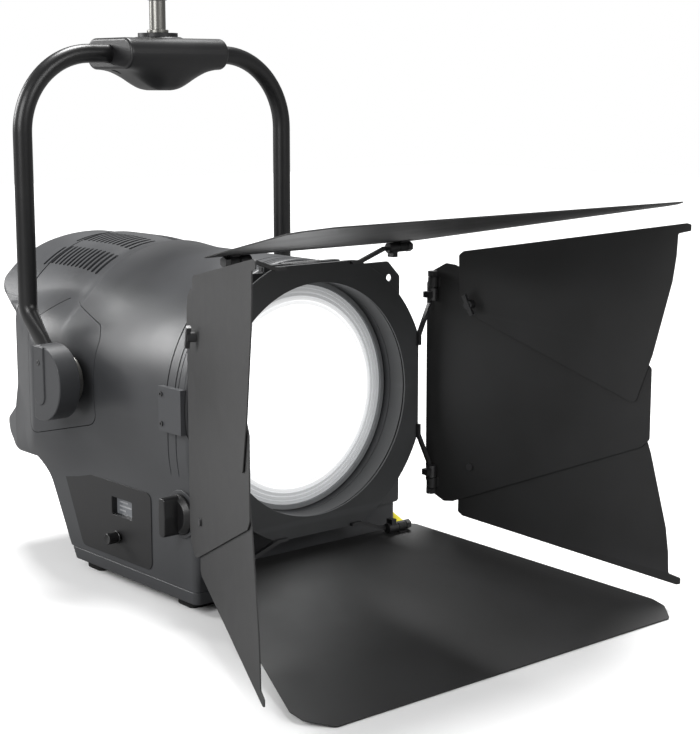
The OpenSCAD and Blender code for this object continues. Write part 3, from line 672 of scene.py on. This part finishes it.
def hood_depth(x, z, profile):
    """How far back the hood reaches at a place seen from behind."""
    reach = REAR_END + 2
    for (y0, z0), (y1, z1) in zip(profile, profile[1:]):
        if z1 <= z <= z0 and z0 > z1:
            reach = y0 + (y1 - y0) * (z0 - z) / (z0 - z1)
            break
    taper = (HOOD_END - TAPER_Y) / (REAR_HALF - HOOD_HALF)
    side = HOOD_END - (abs(x) - HOOD_HALF) * taper
    reach = smooth_min(reach, side, 12)
    if math.hypot(x, z) > REAR_TOP - 2 and z > 0:
        arc = REAR_CORNER ** 2 - max(abs(x) - REAR_HALF + REAR_CORNER, 0) ** 2
        level = z + REAR_CORNER - math.sqrt(max(arc, 0))
        reach = smooth_min(reach, TAPER_Y + (REAR_SHOULDER - level) / SHOULDER_DROP, 8)
    return reach


def rear_hood_cover():
    """The hood as a height field over the rear body's outline, with its recess, the air
    openings under its upper hood and the last vent slots cut in."""
    profile = fillet(HOOD_PROFILE, 8)
    start = profile.index(max(profile, key=lambda p: p[1]))
    profile = profile[start:] + profile[:start]
    shares = [1 - (1 - i / 110) ** 1.8 for i in range(111)]
    steps = 320
    edge_r = 6.0
    grid = []
    for share in shares[1:]:
        ring = []
        for n in range(steps):
            turn = math.tau * n / steps
            full = rear_radius(turn, REAR_END) - 0.05
            r = full * share
            x, z = r * math.cos(turn), r * math.sin(turn)
            short = max(edge_r - (full - r), 0)
            y = hood_depth(x, z, profile) - (edge_r - math.sqrt(edge_r ** 2 - short ** 2))
            ring.append((x, max(y, REAR_END + 0.1), z))
        grid.append(ring)
    front = [(p[0], REAR_END + 0.03, p[2]) for p in grid[-1]]
    hood = skin("rear_hood_cover", grid + [front], crease=42)
    tools = [prism(fillet(rectangle((-78, -35.5), (78, 40)), 5), 335, 380, Y)]
    openings, pitch, wide = 6, 28.8, 20.0
    for n in range(openings):
        left = -82 + pitch * n
        opening = fillet(rectangle((left, 358), (left + wide, 394)), 4, 4)
        tools.append(prism(opening, 50, 90, Z))
    cut(hood, joined(tools + vent_cutters(HOOD_SLOTS), "cutter"))
    fit(hood, "housing_paint", "housing", "rear_hood")


def base_tray_shell():
    """Tray under the skirt. Its rear edge leans with the base."""
    outline = fillet([(-BASE_HALF, BASE_FRONT, BASE_EDGE_R), (BASE_HALF, BASE_FRONT, BASE_EDGE_R),
                      (BASE_HALF, TRAY_END - 0.2, 3), (-BASE_HALF, TRAY_END - 0.2, 3)], 6)
    top = DECK_Z - 0.35
    tray = plate("base_tray_shell", outline, top - BASE_Z, facing_z((top + BASE_Z) / 2), edge=1.0)
    middle, lean = 150 * MM, 0.55
    for vertex in tray.data.vertices:
        if vertex.co.y > middle:
            vertex.co.y -= lean * (top * MM - vertex.co.z)
    fit(tray, "housing_paint", "housing", "base_tray")


def foot_pads():
    pads = []
    top = BASE_Z + 0.3
    half = 14
    for x in (-102, 102):
        for y in (60, 221):
            outline = fillet(rectangle((x - half, y - half), (x + half, y + half)), 6)
            place = facing_z((top + FLOOR_Z) / 2)
            pads.append(plate("pad", outline, top - FLOOR_Z, place, edge=1.6))
    fit(joined(pads, "foot_pads"), "foot_rubber", "housing", "feet")


def bezel_ring():
    """Front ring: a lens seat, a thin collar that stands forward, and a flange on the barrel."""
    profile = fillet([(LENS_R - 4, 41.5), (LENS_R + 0.3, 41.5), (LENS_R + 0.3, 31),
                      (LENS_R + 0.8, 23.4), (LENS_R + 1.8, 23.4), (LENS_R + 1.9, 31),
                      (BARREL_R, 31, 4), (BARREL_R, 42.5), (LENS_R + 8, 42.5), (LENS_R + 8, 56),
                      (LENS_R - 4, 56)], 0.6)
    fit(turned("bezel_ring", profile, Y, steps=160), "housing_paint", "housing", "front_bezel")


# ---------- lens ----------

def fresnel_lens():
    """Concentric prisms, each with a sloping face and a short step, round a plain middle."""
    pitch, depth, thick, plain_r = 4.0, 1.3, 7.0, 16.0
    edge_r = LENS_R - 0.3
    r = LENS_R - pitch
    profile = [(0, LENS_Y + thick), (edge_r, LENS_Y + thick), (edge_r, LENS_Y), (r, LENS_Y)]
    while r > plain_r:
        profile.append((r - 0.3, LENS_Y + depth))
        profile.append((r - pitch, LENS_Y + 0.05))
        r -= pitch
    profile.append((0, LENS_Y + 0.1))
    fit(turned("fresnel_lens", profile, Y, steps=144, crease=20), "lens_glass", "housing", "lens")


def lens_clip_ring():
    profile = fillet(rectangle((LENS_R - 5, LENS_Y - 3), (LENS_R - 0.3, LENS_Y - 0.1)), 0.5, 3)
    # The clip ring takes the pale material, a painted glow of the lamp's light.
    fit(turned("lens_clip_ring", profile, Y, steps=144), "frame_paint", "housing", "lens_retainer",
        material=CLIP_PAINTED_GLOW)


# ---------- controls ----------

def control_overlay():
    well = fillet(rectangle(*WELL), 1.5, 3)
    hole = circle(4.2, 32, (ENCODER_Y, ENCODER_Z))
    thick = -BASE_HALF - PANEL_X
    place = facing_x(PANEL_X + thick / 2 - 0.02)
    overlay = plate("control_overlay", fillet(PANEL, 8), thick, place,
                    [well[::-1], hole[::-1]], 0.25)
    fit(overlay, "panel_paint", "housing", "control_panel")


def display_well():
    """Dark well behind the overlay, with the screen at its bottom and three plain bars on it."""
    (y0, z0), (y1, z1) = WELL
    depth = 7.0
    outer = rectangle((y0 - 1.5, z0 - 1.5), (y1 + 1.5, z1 + 1.5))
    frame_x = -BASE_HALF + WALL + depth / 2 - 3.4
    inner = fillet(rectangle((y0 + 0.1, z0 + 0.1), (y1 - 0.1, z1 - 0.1)), 1, 3)
    rim = plate("display_well", fillet(outer, 1, 3), depth, facing_x(frame_x), [inner[::-1]], 0.2)
    fit(rim, "black_plastic", "housing")
    glass = plate("display_screen", fillet(outer, 1, 3), 1.0, facing_x(frame_x + depth / 2 - 1),
                  edge=0.1)
    fit(glass, "display", "housing", "display_window")
    marks = []
    face_x = frame_x + depth / 2 - 1.65
    for row, length in enumerate((15, 21, 11)):
        top = z1 - 4.5 - 4.2 * row
        bar = rectangle((y1 - 5 - length, top - 1.6), (y1 - 5, top))
        marks.append(plate("mark", bar, 0.2, facing_x(face_x), edge=0.05))
    fit(joined(marks, "display_bars"), "display", "housing", material=PRINT)


def encoder_cap():
    """Small push-and-turn knob with a dished end and fine flutes."""
    inner = -BASE_HALF - 3
    outer = -BASE_HALF - 15
    half_flutes, steps = 12, 96
    rings = []
    for n in range(steps):
        turn = math.tau * n / steps
        side = 5.6 - 0.22 * (1 - abs(math.sin(half_flutes * turn)) ** 0.5)
        profile = [(0, inner), (6.5, inner), (6.6, inner - 0.3), (6.6, inner - 1.2),
                   (6.3, inner - 1.5), (side, inner - 1.6), (side, outer + 0.9),
                   (5.3, outer + 0.25), (4.9, outer), (4.3, outer + 0.1), (2, outer + 0.5),
                   (0, outer + 0.55)]
        rings.append([(x, ENCODER_Y + r * math.cos(turn), ENCODER_Z + r * math.sin(turn))
                      for r, x in profile])
    fit(skin("encoder_cap", rings, wrap=True), "black_plastic", "encoder_knob", "encoder_knob")


def focus_grip():
    """Bar knob: a round skirt with an upright grip across it."""
    inner, outer = -BASE_HALF - 2.6, -BASE_HALF - 9.5
    skirt = fillet([(0, inner), (19.5, inner, 0.6), (19.5, -BASE_HALF - 5, 1.2), (15.5, outer, 2),
                    (0, outer)], 1.2, 4)
    body = turned("skirt", skirt, X, (0, KNOB_Y, KNOB_Z), 72)
    half, tall = 4.6, 18.4
    outline = fillet([(KNOB_Y - half, KNOB_Z - tall, 3.4), (KNOB_Y + half, KNOB_Z - tall, 3.4),
                      (KNOB_Y + half + 0.8, KNOB_Z), (KNOB_Y + half, KNOB_Z + tall, 3.4),
                      (KNOB_Y - half, KNOB_Z + tall, 3.4), (KNOB_Y - half - 0.8, KNOB_Z)], 3)
    bar = plate("bar", outline, 19.5, facing_x(-BASE_HALF - 24 + 9.75), edge=1.1)
    shaft = turned("shaft", [(0, -BASE_HALF - 3), (5, -BASE_HALF - 3), (5, -105), (0, -105)], X,
                   (0, KNOB_Y, KNOB_Z), 32)
    fit(joined([body, bar, shaft], "focus_grip"), "black_plastic", "focus_knob", "focus_knob")


def focus_dial():
    """Round seat under the knob, with a small pointer beside it."""
    profile = fillet([(5.6, -BASE_HALF - 2), (23, -BASE_HALF - 2, 1.4), (23, -BASE_HALF - 0.03),
                      (5.6, -BASE_HALF - 0.03)], 0.2, 4)
    fit(turned("focus_dial", profile, X, (0, KNOB_Y, KNOB_Z), 96), "housing_paint", "housing",
        "knob_seat")
    tip = (KNOB_Y - 19.8, KNOB_Z)
    outline = [(tip[0] - 3.4, tip[1] - 4.6), tip, (tip[0] - 3.4, tip[1] + 4.6)]
    pointer = plate("focus_pointer", outline, 2.2, facing_x(-BASE_HALF - 2.1), edge=0.2)
    fit(pointer, "panel_paint", "housing", material=PRINT)


def pole_cup():
    """Yellow funnel with its cross bar."""
    hub = -127.0
    rim = high("focus_cup", X) - CUP_X
    profile = fillet([(0, hub - 7), (4, hub - 7, 0.6), (4, hub - 14), (7, hub - 14, 1.2),
                      (7, hub - 19, 2), (rim - 1.5, hub - 35.5, 2), (rim, hub - 36.5, 1),
                      (rim, hub - 42, 0.8), (rim - 1.9, hub - 42, 0.6), (rim - 1.9, hub - 37, 0.6),
                      (4.6, hub - 20, 2), (0, hub - 20)], 1, 5)
    cup = turned("pole_cup", profile, Z, (CUP_X, CUP_Y, 0), 96)
    fit(cup, "cup_yellow", "focus_cup", "focus_cup")
    bar = turned("pole_cup_bar", [(0, -20.5), (1.7, -20.5), (1.7, 20.5), (0, 20.5)], X,
                 (CUP_X, CUP_Y, hub - 32), 24)
    fit(bar, "bright_steel", "focus_cup")


# ---------- yoke ----------

BEND_R = 78.0        # the tube's bend at the top corners
LOW_BEND_R = 20.0    # and its bend forward above the pivot
LEAN = 43.0          # degrees from upright below that bend
LOW_BEND_Z = 81.0


def arm_route():
    """Centre line of the right arm as (point, how far it is pressed flat)."""
    route = [((30, ARM_Y, YOKE_Z), 0)]
    for n in range(25):
        turn = math.radians(90 - 90 * n / 24)
        route.append(((ARM_X - BEND_R + BEND_R * math.cos(turn), ARM_Y,
                       YOKE_Z - BEND_R + BEND_R * math.sin(turn)), 0))
    route.append(((ARM_X, ARM_Y, LOW_BEND_Z + 30), 0))
    route.append(((ARM_X, ARM_Y, LOW_BEND_Z + 8), 0))
    for n in range(11):
        turn = math.radians(-LEAN * n / 10)
        route.append(((ARM_X, ARM_Y - LOW_BEND_R + LOW_BEND_R * math.cos(turn),
                       LOW_BEND_Z + LOW_BEND_R * math.sin(turn)), 0.12 * n / 10))
    end = Vector(route[-1][0])
    down = Vector((0, -math.sin(math.radians(LEAN)), -math.cos(math.radians(LEAN))))
    for length in (6, 12, 18, 24, 30, 36, 44):
        route.append((tuple(end + down * length), 0.12 + 0.3 * min(length / 30, 1)))
    return route


def yoke_arm(side, name, node):
    """Bent tube along the arm's route, pressed flatter towards the pivot."""
    route = arm_route()
    rings = []
    for i, (point, flat) in enumerate(route):
        before = Vector(route[max(i - 1, 0)][0])
        after = Vector(route[min(i + 1, len(route) - 1)][0])
        along = (after - before).normalized()
        across = Vector((0, 1, 0)) if abs(along.y) < 0.05 and point[2] > LOW_BEND_Z else None
        if across is None:
            across = along.cross(Vector((1, 0, 0))).normalized() * -1
        other = across.cross(along).normalized()
        ring = []
        for n in range(40):
            turn = math.tau * n / 40
            wide = TUBE_R * (1 + 0.45 * flat) * math.cos(turn)
            thin = TUBE_R * (1 - flat) * math.sin(turn)
            spot = Vector(point) + across * wide + other * thin
            ring.append((side * spot.x, spot.y, spot.z))
        rings.append(ring)
    fit(skin(name, rings), "yoke_paint", "yoke", node)


def pivot_cap(side, name, node):
    """Cast cap round the end of an arm, cut straight at its rear, with a raised strip."""
    radius = high("pivot_disc_right", Z) - PIVOT_Z
    cut_y = 11.5
    start = math.acos(cut_y / radius)
    arc = [(PIVOT_Y + radius * math.cos(t), PIVOT_Z + radius * math.sin(t))
           for t in (start + (math.tau - 2 * start) * n / 72 for n in range(73))]
    inner_x, face_x = REAR_HALF + 2.5, ARM_X + 15
    cap = plate("cap", arc, face_x - inner_x, facing_x(side * (face_x + inner_x) / 2), edge=1.3)
    half = 9.5
    strip = fillet([(PIVOT_Y - half, PIVOT_Z + 36.3, 0.5), (PIVOT_Y - half, PIVOT_Z - 22, half),
                    (PIVOT_Y + half, PIVOT_Z - 22, half),
                    (PIVOT_Y + half, PIVOT_Z + 36.3, 0.5)], 1, 10)
    raised = plate("strip", strip, 3.6, facing_x(side * (face_x - 0.6)), edge=1.0)
    fit(joined([cap, raised], name), "housing_paint", "yoke", node)
    head = fillet([(0, 0), (2.6, 0), (2.6, 0.7, 0.4), (1.2, 0.8), (1.1, 0.2), (0, 0.2)], 0.15, 3)
    screw = turned(name + "_screw", head, X, (0, PIVOT_Y, PIVOT_Z + 20), 24)
    screw.data.transform(Matrix.Translation(((face_x + 1.1) * MM, 0, 0)))
    if side < 0:
        screw.data.transform(Matrix.Scale(-1, 4, (1, 0, 0)))
        screw.data.flip_normals()
    fit(screw, "black_steel", "yoke")


HEAD_X = high("yoke_head_top", X)
HEAD_Y = high("yoke_head_top", Y) - ARM_Y


def head_section(x, upper):
    """Half of the head's outline at x: a bull-nosed bar, with a boat-shaped belly below."""
    end_r = 3.0
    end = max(abs(x) - (HEAD_X - end_r), 0)
    draw_in = end_r - math.sqrt(max(end_r ** 2 - end * end, 0))
    a = HEAD_Y - draw_in
    nose = HEAD_HALF - 1.2 - draw_in
    up = 1 if upper else -1
    points = []
    for n in range(13):
        turn = up * math.pi / 2 * n / 12
        points.append((a - nose + nose * math.cos(turn), nose * math.sin(turn)))
    if upper:
        return points + [(-y, z) for y, z in points[::-1]]
    belly = 21.0 * smooth_step(1.15 * (HEAD_X - 2 - abs(x)) / HEAD_X)

    def sag(y):
        return belly * smooth_step((a - 3 - abs(y)) / 26)

    lower = [(y, z - sag(y) * smooth_step(-z / nose)) for y, z in points]
    for share in (0.8, 0.6, 0.4, 0.2, 0):
        y = (a - nose) * share
        lower.append((y, -nose - sag(y)))
    return [(-y, z) for y, z in lower] + lower[::-1][1:]


def yoke_head():
    stops = [HEAD_X * math.sin(math.pi / 2 * n / 40) for n in range(-40, 41)]
    for upper, name, node in ((True, "yoke_head_cover", "yoke_head_top"),
                              (False, "yoke_head_bowl", "yoke_head_base")):
        rings = []
        for x in stops:
            rings.append([(x, ARM_Y + y, YOKE_Z + z) for y, z in head_section(x, upper)])
        head = skin(name, rings, crease=32)
        if upper:
            collar = fillet([(0, -4), (30, -4), (24, 0.2, 9), (20.5, 0.4), (0, 0.4)], 0.3, 8)
            saddle = turned("saddle", collar, Z, (0, ARM_Y, HEAD_TOP), 72)
            head = joined([head, saddle], name)
        else:
            hole = turned("cutter", [(0, -12), (3, -12), (3, 12), (0, 12)], Z, steps=24)
            hole.data.transform(Matrix.Rotation(math.radians(-45), 4, "Y"))
            spot = Vector((15 - HEAD_X, ARM_Y + 4, YOKE_Z - 22)) * MM
            hole.data.transform(Matrix.Translation(spot))
            cut(head, hole)
        fit(head, "black_cast", "yoke", node)


def mounting_spigot():
    """28 mm stud with its waist and the hole for a retaining pin."""
    base = HEAD_TOP
    profile = fillet([(0, base - 3), (9.9, base - 3), (9.9, base + 4.4), (11, base + 4.4, 0.5),
                      (11, base + 7.6, 0.6), (8.3, base + 7.6), (8.3, base + 37.4, 1),
                      (10, base + 37.4, 0.8),
                      (14, base + 41.4, 0.6), (14, SPIGOT_TOP - 2), (12, SPIGOT_TOP, 0.6),
                      (0, SPIGOT_TOP)], 0.3, 4)
    stud = turned("mounting_spigot", profile, Z, (0, ARM_Y, 0), 96)
    pin_hole = turned("cutter", [(0, -30), (4, -30), (4, 30), (0, 30)], Y,
                      (0, ARM_Y, base + 70), 32)
    cut(stud, pin_hole)
    fit(stud, "bright_steel", "spigot", "spigot")


# ---------- barn doors ----------

TOP_OPEN = 10.2      # how far each leaf stands open at rest, degrees
LEFT_OPEN = 24.0
RIGHT_OPEN = 19.0
TOP_LEAF_L = 266.0
SIDE_LEAF_L = 228.0
WING_SCREW = (41.0, 82.0)
SCREW_HOLE_R = 2.1
WING_GAP = 0.6       # between a side leaf and each of its wings


def at_hinge(turn, joint, open_by):
    """Leaf frame: X is out from the beam, -Y along the leaf, and Z along the hinge pin."""
    pos = JOINT_AT[joint]
    pin = Vector((max(abs(pos[X]), abs(pos[Z])), pos[Y], 0)) * MM
    return (Matrix.Rotation(math.radians(turn), 4, "Y") @ Matrix.Translation(pin)
            @ Matrix.Rotation(math.radians(open_by), 4, "Z"))


def sheet_place(offset, mirrored=False):
    """Puts a plate drawn as (along, across) at its offset over the pin."""
    across = -1 if mirrored else 1
    return axes((0, -1, 0), (0, 0, across), (-across, 0, 0), (offset + SHEET / 2, 0, 0))


LEAF_HALF = [(-9, 123), (-6, 129), (4, 133), (230, 220, 6), (246, 219, 8), (TOP_LEAF_L, 202, 6)]
SIDE_HALF = [(-9, 100), (-4, 112), (12, 121, 4), (22, 120, 4), (220, 42, 6), (SIDE_LEAF_L, 34, 4)]
WING = [(27, 130), (32, 134, 3), (258, 171, 2), (262, 170, 1.5), (262, 164, 1.5), (250, 161, 2),
        (249, 140, 6), (246, 117, 10), (229, 47, 8), (213, -1, 5), (36, 74, 4), (28, 82, 5)]


def both_halves(half):
    """Mirrors half an outline across the leaf."""
    return [(p[0], -p[1], *p[2:]) for p in half] + list(half[::-1])


def leaf(name, body, half, place, screw_holes=()):
    """Sheet with a sleeve and its foot round each end of the hinge pin."""
    holes = [circle(SCREW_HOLE_R, 20, spot)[::-1] for spot in screw_holes]
    outline = fillet(both_halves(half), 3, 5)
    parts = [plate(name, outline, SHEET, place @ sheet_place(LEAF_OFFSET), holes, 0.25)]
    near, far = 97, 107
    for end in (-1, 1):
        profile = fillet(rectangle((2.56, near), (4.6, far)), 0.4, 3)
        sleeve = turned("sleeve", [(r, end * z) for r, z in profile], Z, steps=40)
        foot_place = axes((0, -1, 0), (0, 0, end), (-end, 0, 0), (LEAF_OFFSET - 0.7, 0, 0))
        foot = plate("foot", fillet(rectangle((-6, near), (6, far)), 1, 3), 1.6, foot_place,
                     edge=0.3)
        sleeve.data.transform(place)
        foot.data.transform(place)
        parts += [sleeve, foot]
    fit(joined(parts, name), "leaf_paint", body, body)


def wing(name, place, offset, mirrored, body):
    hole = circle(SCREW_HOLE_R, 20, WING_SCREW)[::-1]
    sheet = plate(name, fillet(WING, 3, 6), SHEET, place @ sheet_place(offset, mirrored),
                  [hole], 0.25)
    fit(sheet, "leaf_paint", body, body)


def barn_doors():
    top = at_hinge(-90, "top_leaf_fold", TOP_OPEN)
    bottom = at_hinge(90, "bottom_leaf_fold", TOP_OPEN)
    left = at_hinge(180, "left_leaf_fold", LEFT_OPEN)
    right = at_hinge(0, "right_leaf_fold", RIGHT_OPEN)
    screws = (WING_SCREW, (WING_SCREW[0], -WING_SCREW[1]))
    leaf("top_leaf_sheet", "top_leaf", LEAF_HALF, top)
    leaf("bottom_leaf_sheet", "bottom_leaf", LEAF_HALF, bottom)
    leaf("left_leaf_sheet", "left_leaf", SIDE_HALF, left, screws)
    leaf("right_leaf_sheet", "right_leaf", SIDE_HALF, right, screws)
    inner = LEAF_OFFSET - WING_GAP - SHEET
    outer = LEAF_OFFSET + SHEET + WING_GAP
    wing("right_upper_wing_sheet", right, inner, False, "right_upper_wing")
    wing("right_lower_wing_sheet", right, outer, True, "right_lower_wing")
    wing("left_lower_wing_sheet", left, inner, False, "left_lower_wing")
    wing("left_upper_wing_sheet", left, outer, True, "left_upper_wing")


def door_ring_plate():
    """Turning ring: a flat face with four flats, folded flanges and a collar."""
    ring_r, hole_r, steps = 139.0, 112.0, 180
    outline = []
    for n in range(steps):
        turn = math.tau * n / steps
        c, s = math.cos(turn), math.sin(turn)
        r = min(ring_r, RING_FLAT / max(abs(c), abs(s)))
        outline.append((r * c, r * s))
    face = plate("face", outline, 2.0, facing_y(1.0), [circle(hole_r, 160)[::-1]], 0.35)
    profile = fillet([(115.2, 1.5), (120, 1.5), (120, 17, 0.8), (115.2, 17, 0.8)], 0.3, 3)
    collar = turned("collar", profile, Y, steps=144)
    flanges = []
    for n in range(4):
        flange = plate("flange", fillet(rectangle((-50, 0.3), (50, 8)), 1.5, 3), 2.6,
                       facing_z(RING_FLAT - 1.5), edge=0.5)
        flange.data.transform(Matrix.Rotation(math.radians(90 * n), 4, "Y"))
        flanges.append(flange)
    ring = joined([face, collar] + flanges, "door_ring_plate")
    fit(ring, "frame_paint", "door_ring", "door_ring")


def slide_in_frame():
    """Square plate with its top corners cut, two holes to hang it by, and the tube that the
    ring turns on."""
    a = FRAME_HALF
    b = a - 15.5
    outline = fillet([(-a, -a), (a, -a), (a, b), (b, a), (-b, a), (-a, b)], 4)
    holes = [circle(115.4, 144)[::-1]]
    for x in (109, -109):
        holes.append(circle(3.6, 24, (x, 106.5))[::-1])
    face = plate("face", outline, 2.0, facing_y(22.0), holes, 0.35)
    profile = fillet([(112.6, 4), (115, 4), (115, 21.5), (116, 22.8), (112.6, 22.8)], 0.3, 3)
    tube = turned("tube", profile, Y, steps=144)
    fit(joined([face, tube], "slide_in_frame"), "frame_paint", "housing", "door_base_plate")


# ---------- pieces that keep the frame's shape ----------

KEPT = {
    "frame_paint": ["accessory_holder"],
    "housing_paint": ["holder_brackets"],
    "black_steel": ["housing_screws", "holder_latch", "hinge_straps", "hinge_clamps",
                    "left_wing_levers", "right_wing_levers"],
    "black_cast": ["cup_gearbox", "spigot_flange"],
    "bright_steel": ["encoder_shaft", "cross_shaft", "lead_screw", "carriage_rails", "pivot_hubs",
                     "spigot_nut"],
    "bare_aluminium": ["idler_gear", "carriage", "heat_sink", "power_supply"],
    "black_plastic": ["fan_frame", "fan_rotor", "panel_connectors"],
    "panel_paint": ["rear_panel"],
    "led_phosphor": ["led_module"],
    "circuit_board": ["control_board"],
}


def kept_nodes():
    for slot, names in KEPT.items():
        for name in names:
            node = frame["nodes"][name]
            node.data.materials.clear()
            node.data.materials.append(MATERIALS[slot])
            node.data.shade_smooth()
            node.data.set_sharp_from_angle(angle=math.radians(35))
            softened(node, 0.35)


# ---------- stage ----------

def pale_floor():
    """Matt floor: near white to the camera, and greyer in the light it throws back."""
    mesh = bpy.data.meshes.new("floor")
    size = 6.0
    level = FLOOR_Z * MM
    corners = rectangle((-size, -size), (size, size))
    mesh.from_pydata([(x, y, level) for x, y in corners], [], [(0, 1, 2, 3)])
    material, tree, _ = start_material("white_cove")
    seen = add(tree, "ShaderNodeLightPath").outputs["Is Camera Ray"]
    tone = mixed(tree, seen, linear("#8c8c8c"), linear("#f6f6f6"))
    end_material(tree, add(tree, "ShaderNodeBsdfPrincipled", {
        "Base Color": tone, "Roughness": 0.9, "Specular IOR Level": 0.1}))
    mesh.materials.append(material)
    in_scene("floor", mesh)


def aimed(name, light, towards):
    """Puts a light in the scene with its back to the direction given."""
    lamp = in_scene(name, light)
    lamp.rotation_euler = Vector(towards).to_track_quat("Z", "Y").to_euler()
    return lamp


def soft_light(name, place, aim, size, power):
    light = bpy.data.lights.new(name, "AREA")
    light.shape = "RECTANGLE"
    light.size, light.size_y = size
    light.energy = power
    aimed(name, light, Vector(place) - Vector(aim)).location = place


def studio():
    """A white cove: white to the camera, dimmer as light. A broad lamp stands overhead, a little
    behind and to the right; three soft boxes fill from the rear left, the left and the front."""
    world = bpy.data.worlds.new("studio")
    world.use_nodes = True
    tree = world.node_tree
    tree.nodes.clear()
    strength = ranged(tree, add(tree, "ShaderNodeLightPath").outputs["Is Camera Ray"],
                      {"To Min": 0.27, "To Max": 1.0})
    sky = add(tree, "ShaderNodeBackground", {"Color": (1, 1, 1, 1), "Strength": strength})
    add(tree, "ShaderNodeOutputWorld", {"Surface": sky.outputs["Background"]})
    bpy.context.scene.world = world
    sun = bpy.data.lights.new("top_lamp", "SUN")
    sun.energy = 4.8
    sun.angle = math.radians(28)
    aimed("top_lamp", sun, (0.3, 0.3, 1.0))
    soft_light("rear_left_softbox", (-1.1, 2.0, 0.95), (0, 0.1, 0.05), (0.9, 0.9), 33)
    soft_light("left_softbox", (-1.8, -0.4, 0.9), (0, 0.15, 0), (1.0, 1.0), 24)
    soft_light("front_strip", (0.3, -2.2, 1.2), (0, 0, 0), (1.6, 0.8), 20)
    bpy.context.scene.view_settings.view_transform = "Standard"


def camera():
    """Long lens from the front left and a little above, level with the yoke's top bar."""
    azimuth, elevation = math.radians(-40.65), math.radians(9.75)
    level = math.cos(elevation)
    back = Vector((math.sin(azimuth) * level, -math.cos(azimuth) * level, math.sin(elevation)))
    right = Vector((math.cos(azimuth), math.sin(azimuth), 0))
    lens = bpy.data.cameras.new("camera")
    lens.lens = 81.47
    lens.sensor_width = 36
    eye = in_scene("camera", lens)
    matrix = Matrix((right, back.cross(right), back)).transposed().to_4x4()
    matrix.translation = Vector((-984.9, -1193.6, 297.7)) * MM
    eye.matrix_world = matrix
    bpy.context.scene.camera = eye


camera()
housing_casting()
rear_hood_cover()
base_tray_shell()
foot_pads()
bezel_ring()
fresnel_lens()
lens_clip_ring()
control_overlay()
display_well()
encoder_cap()
focus_grip()
focus_dial()
pole_cup()
yoke_arm(-1, "left_yoke_tube", "yoke_arm_left")
yoke_arm(1, "right_yoke_tube", "yoke_arm_right")
pivot_cap(-1, "left_pivot_cap", "pivot_disc_left")
pivot_cap(1, "right_pivot_cap", "pivot_disc_right")
yoke_head()
mounting_spigot()
barn_doors()
door_ring_plate()
slide_in_frame()
kept_nodes()
pale_floor()
studio()
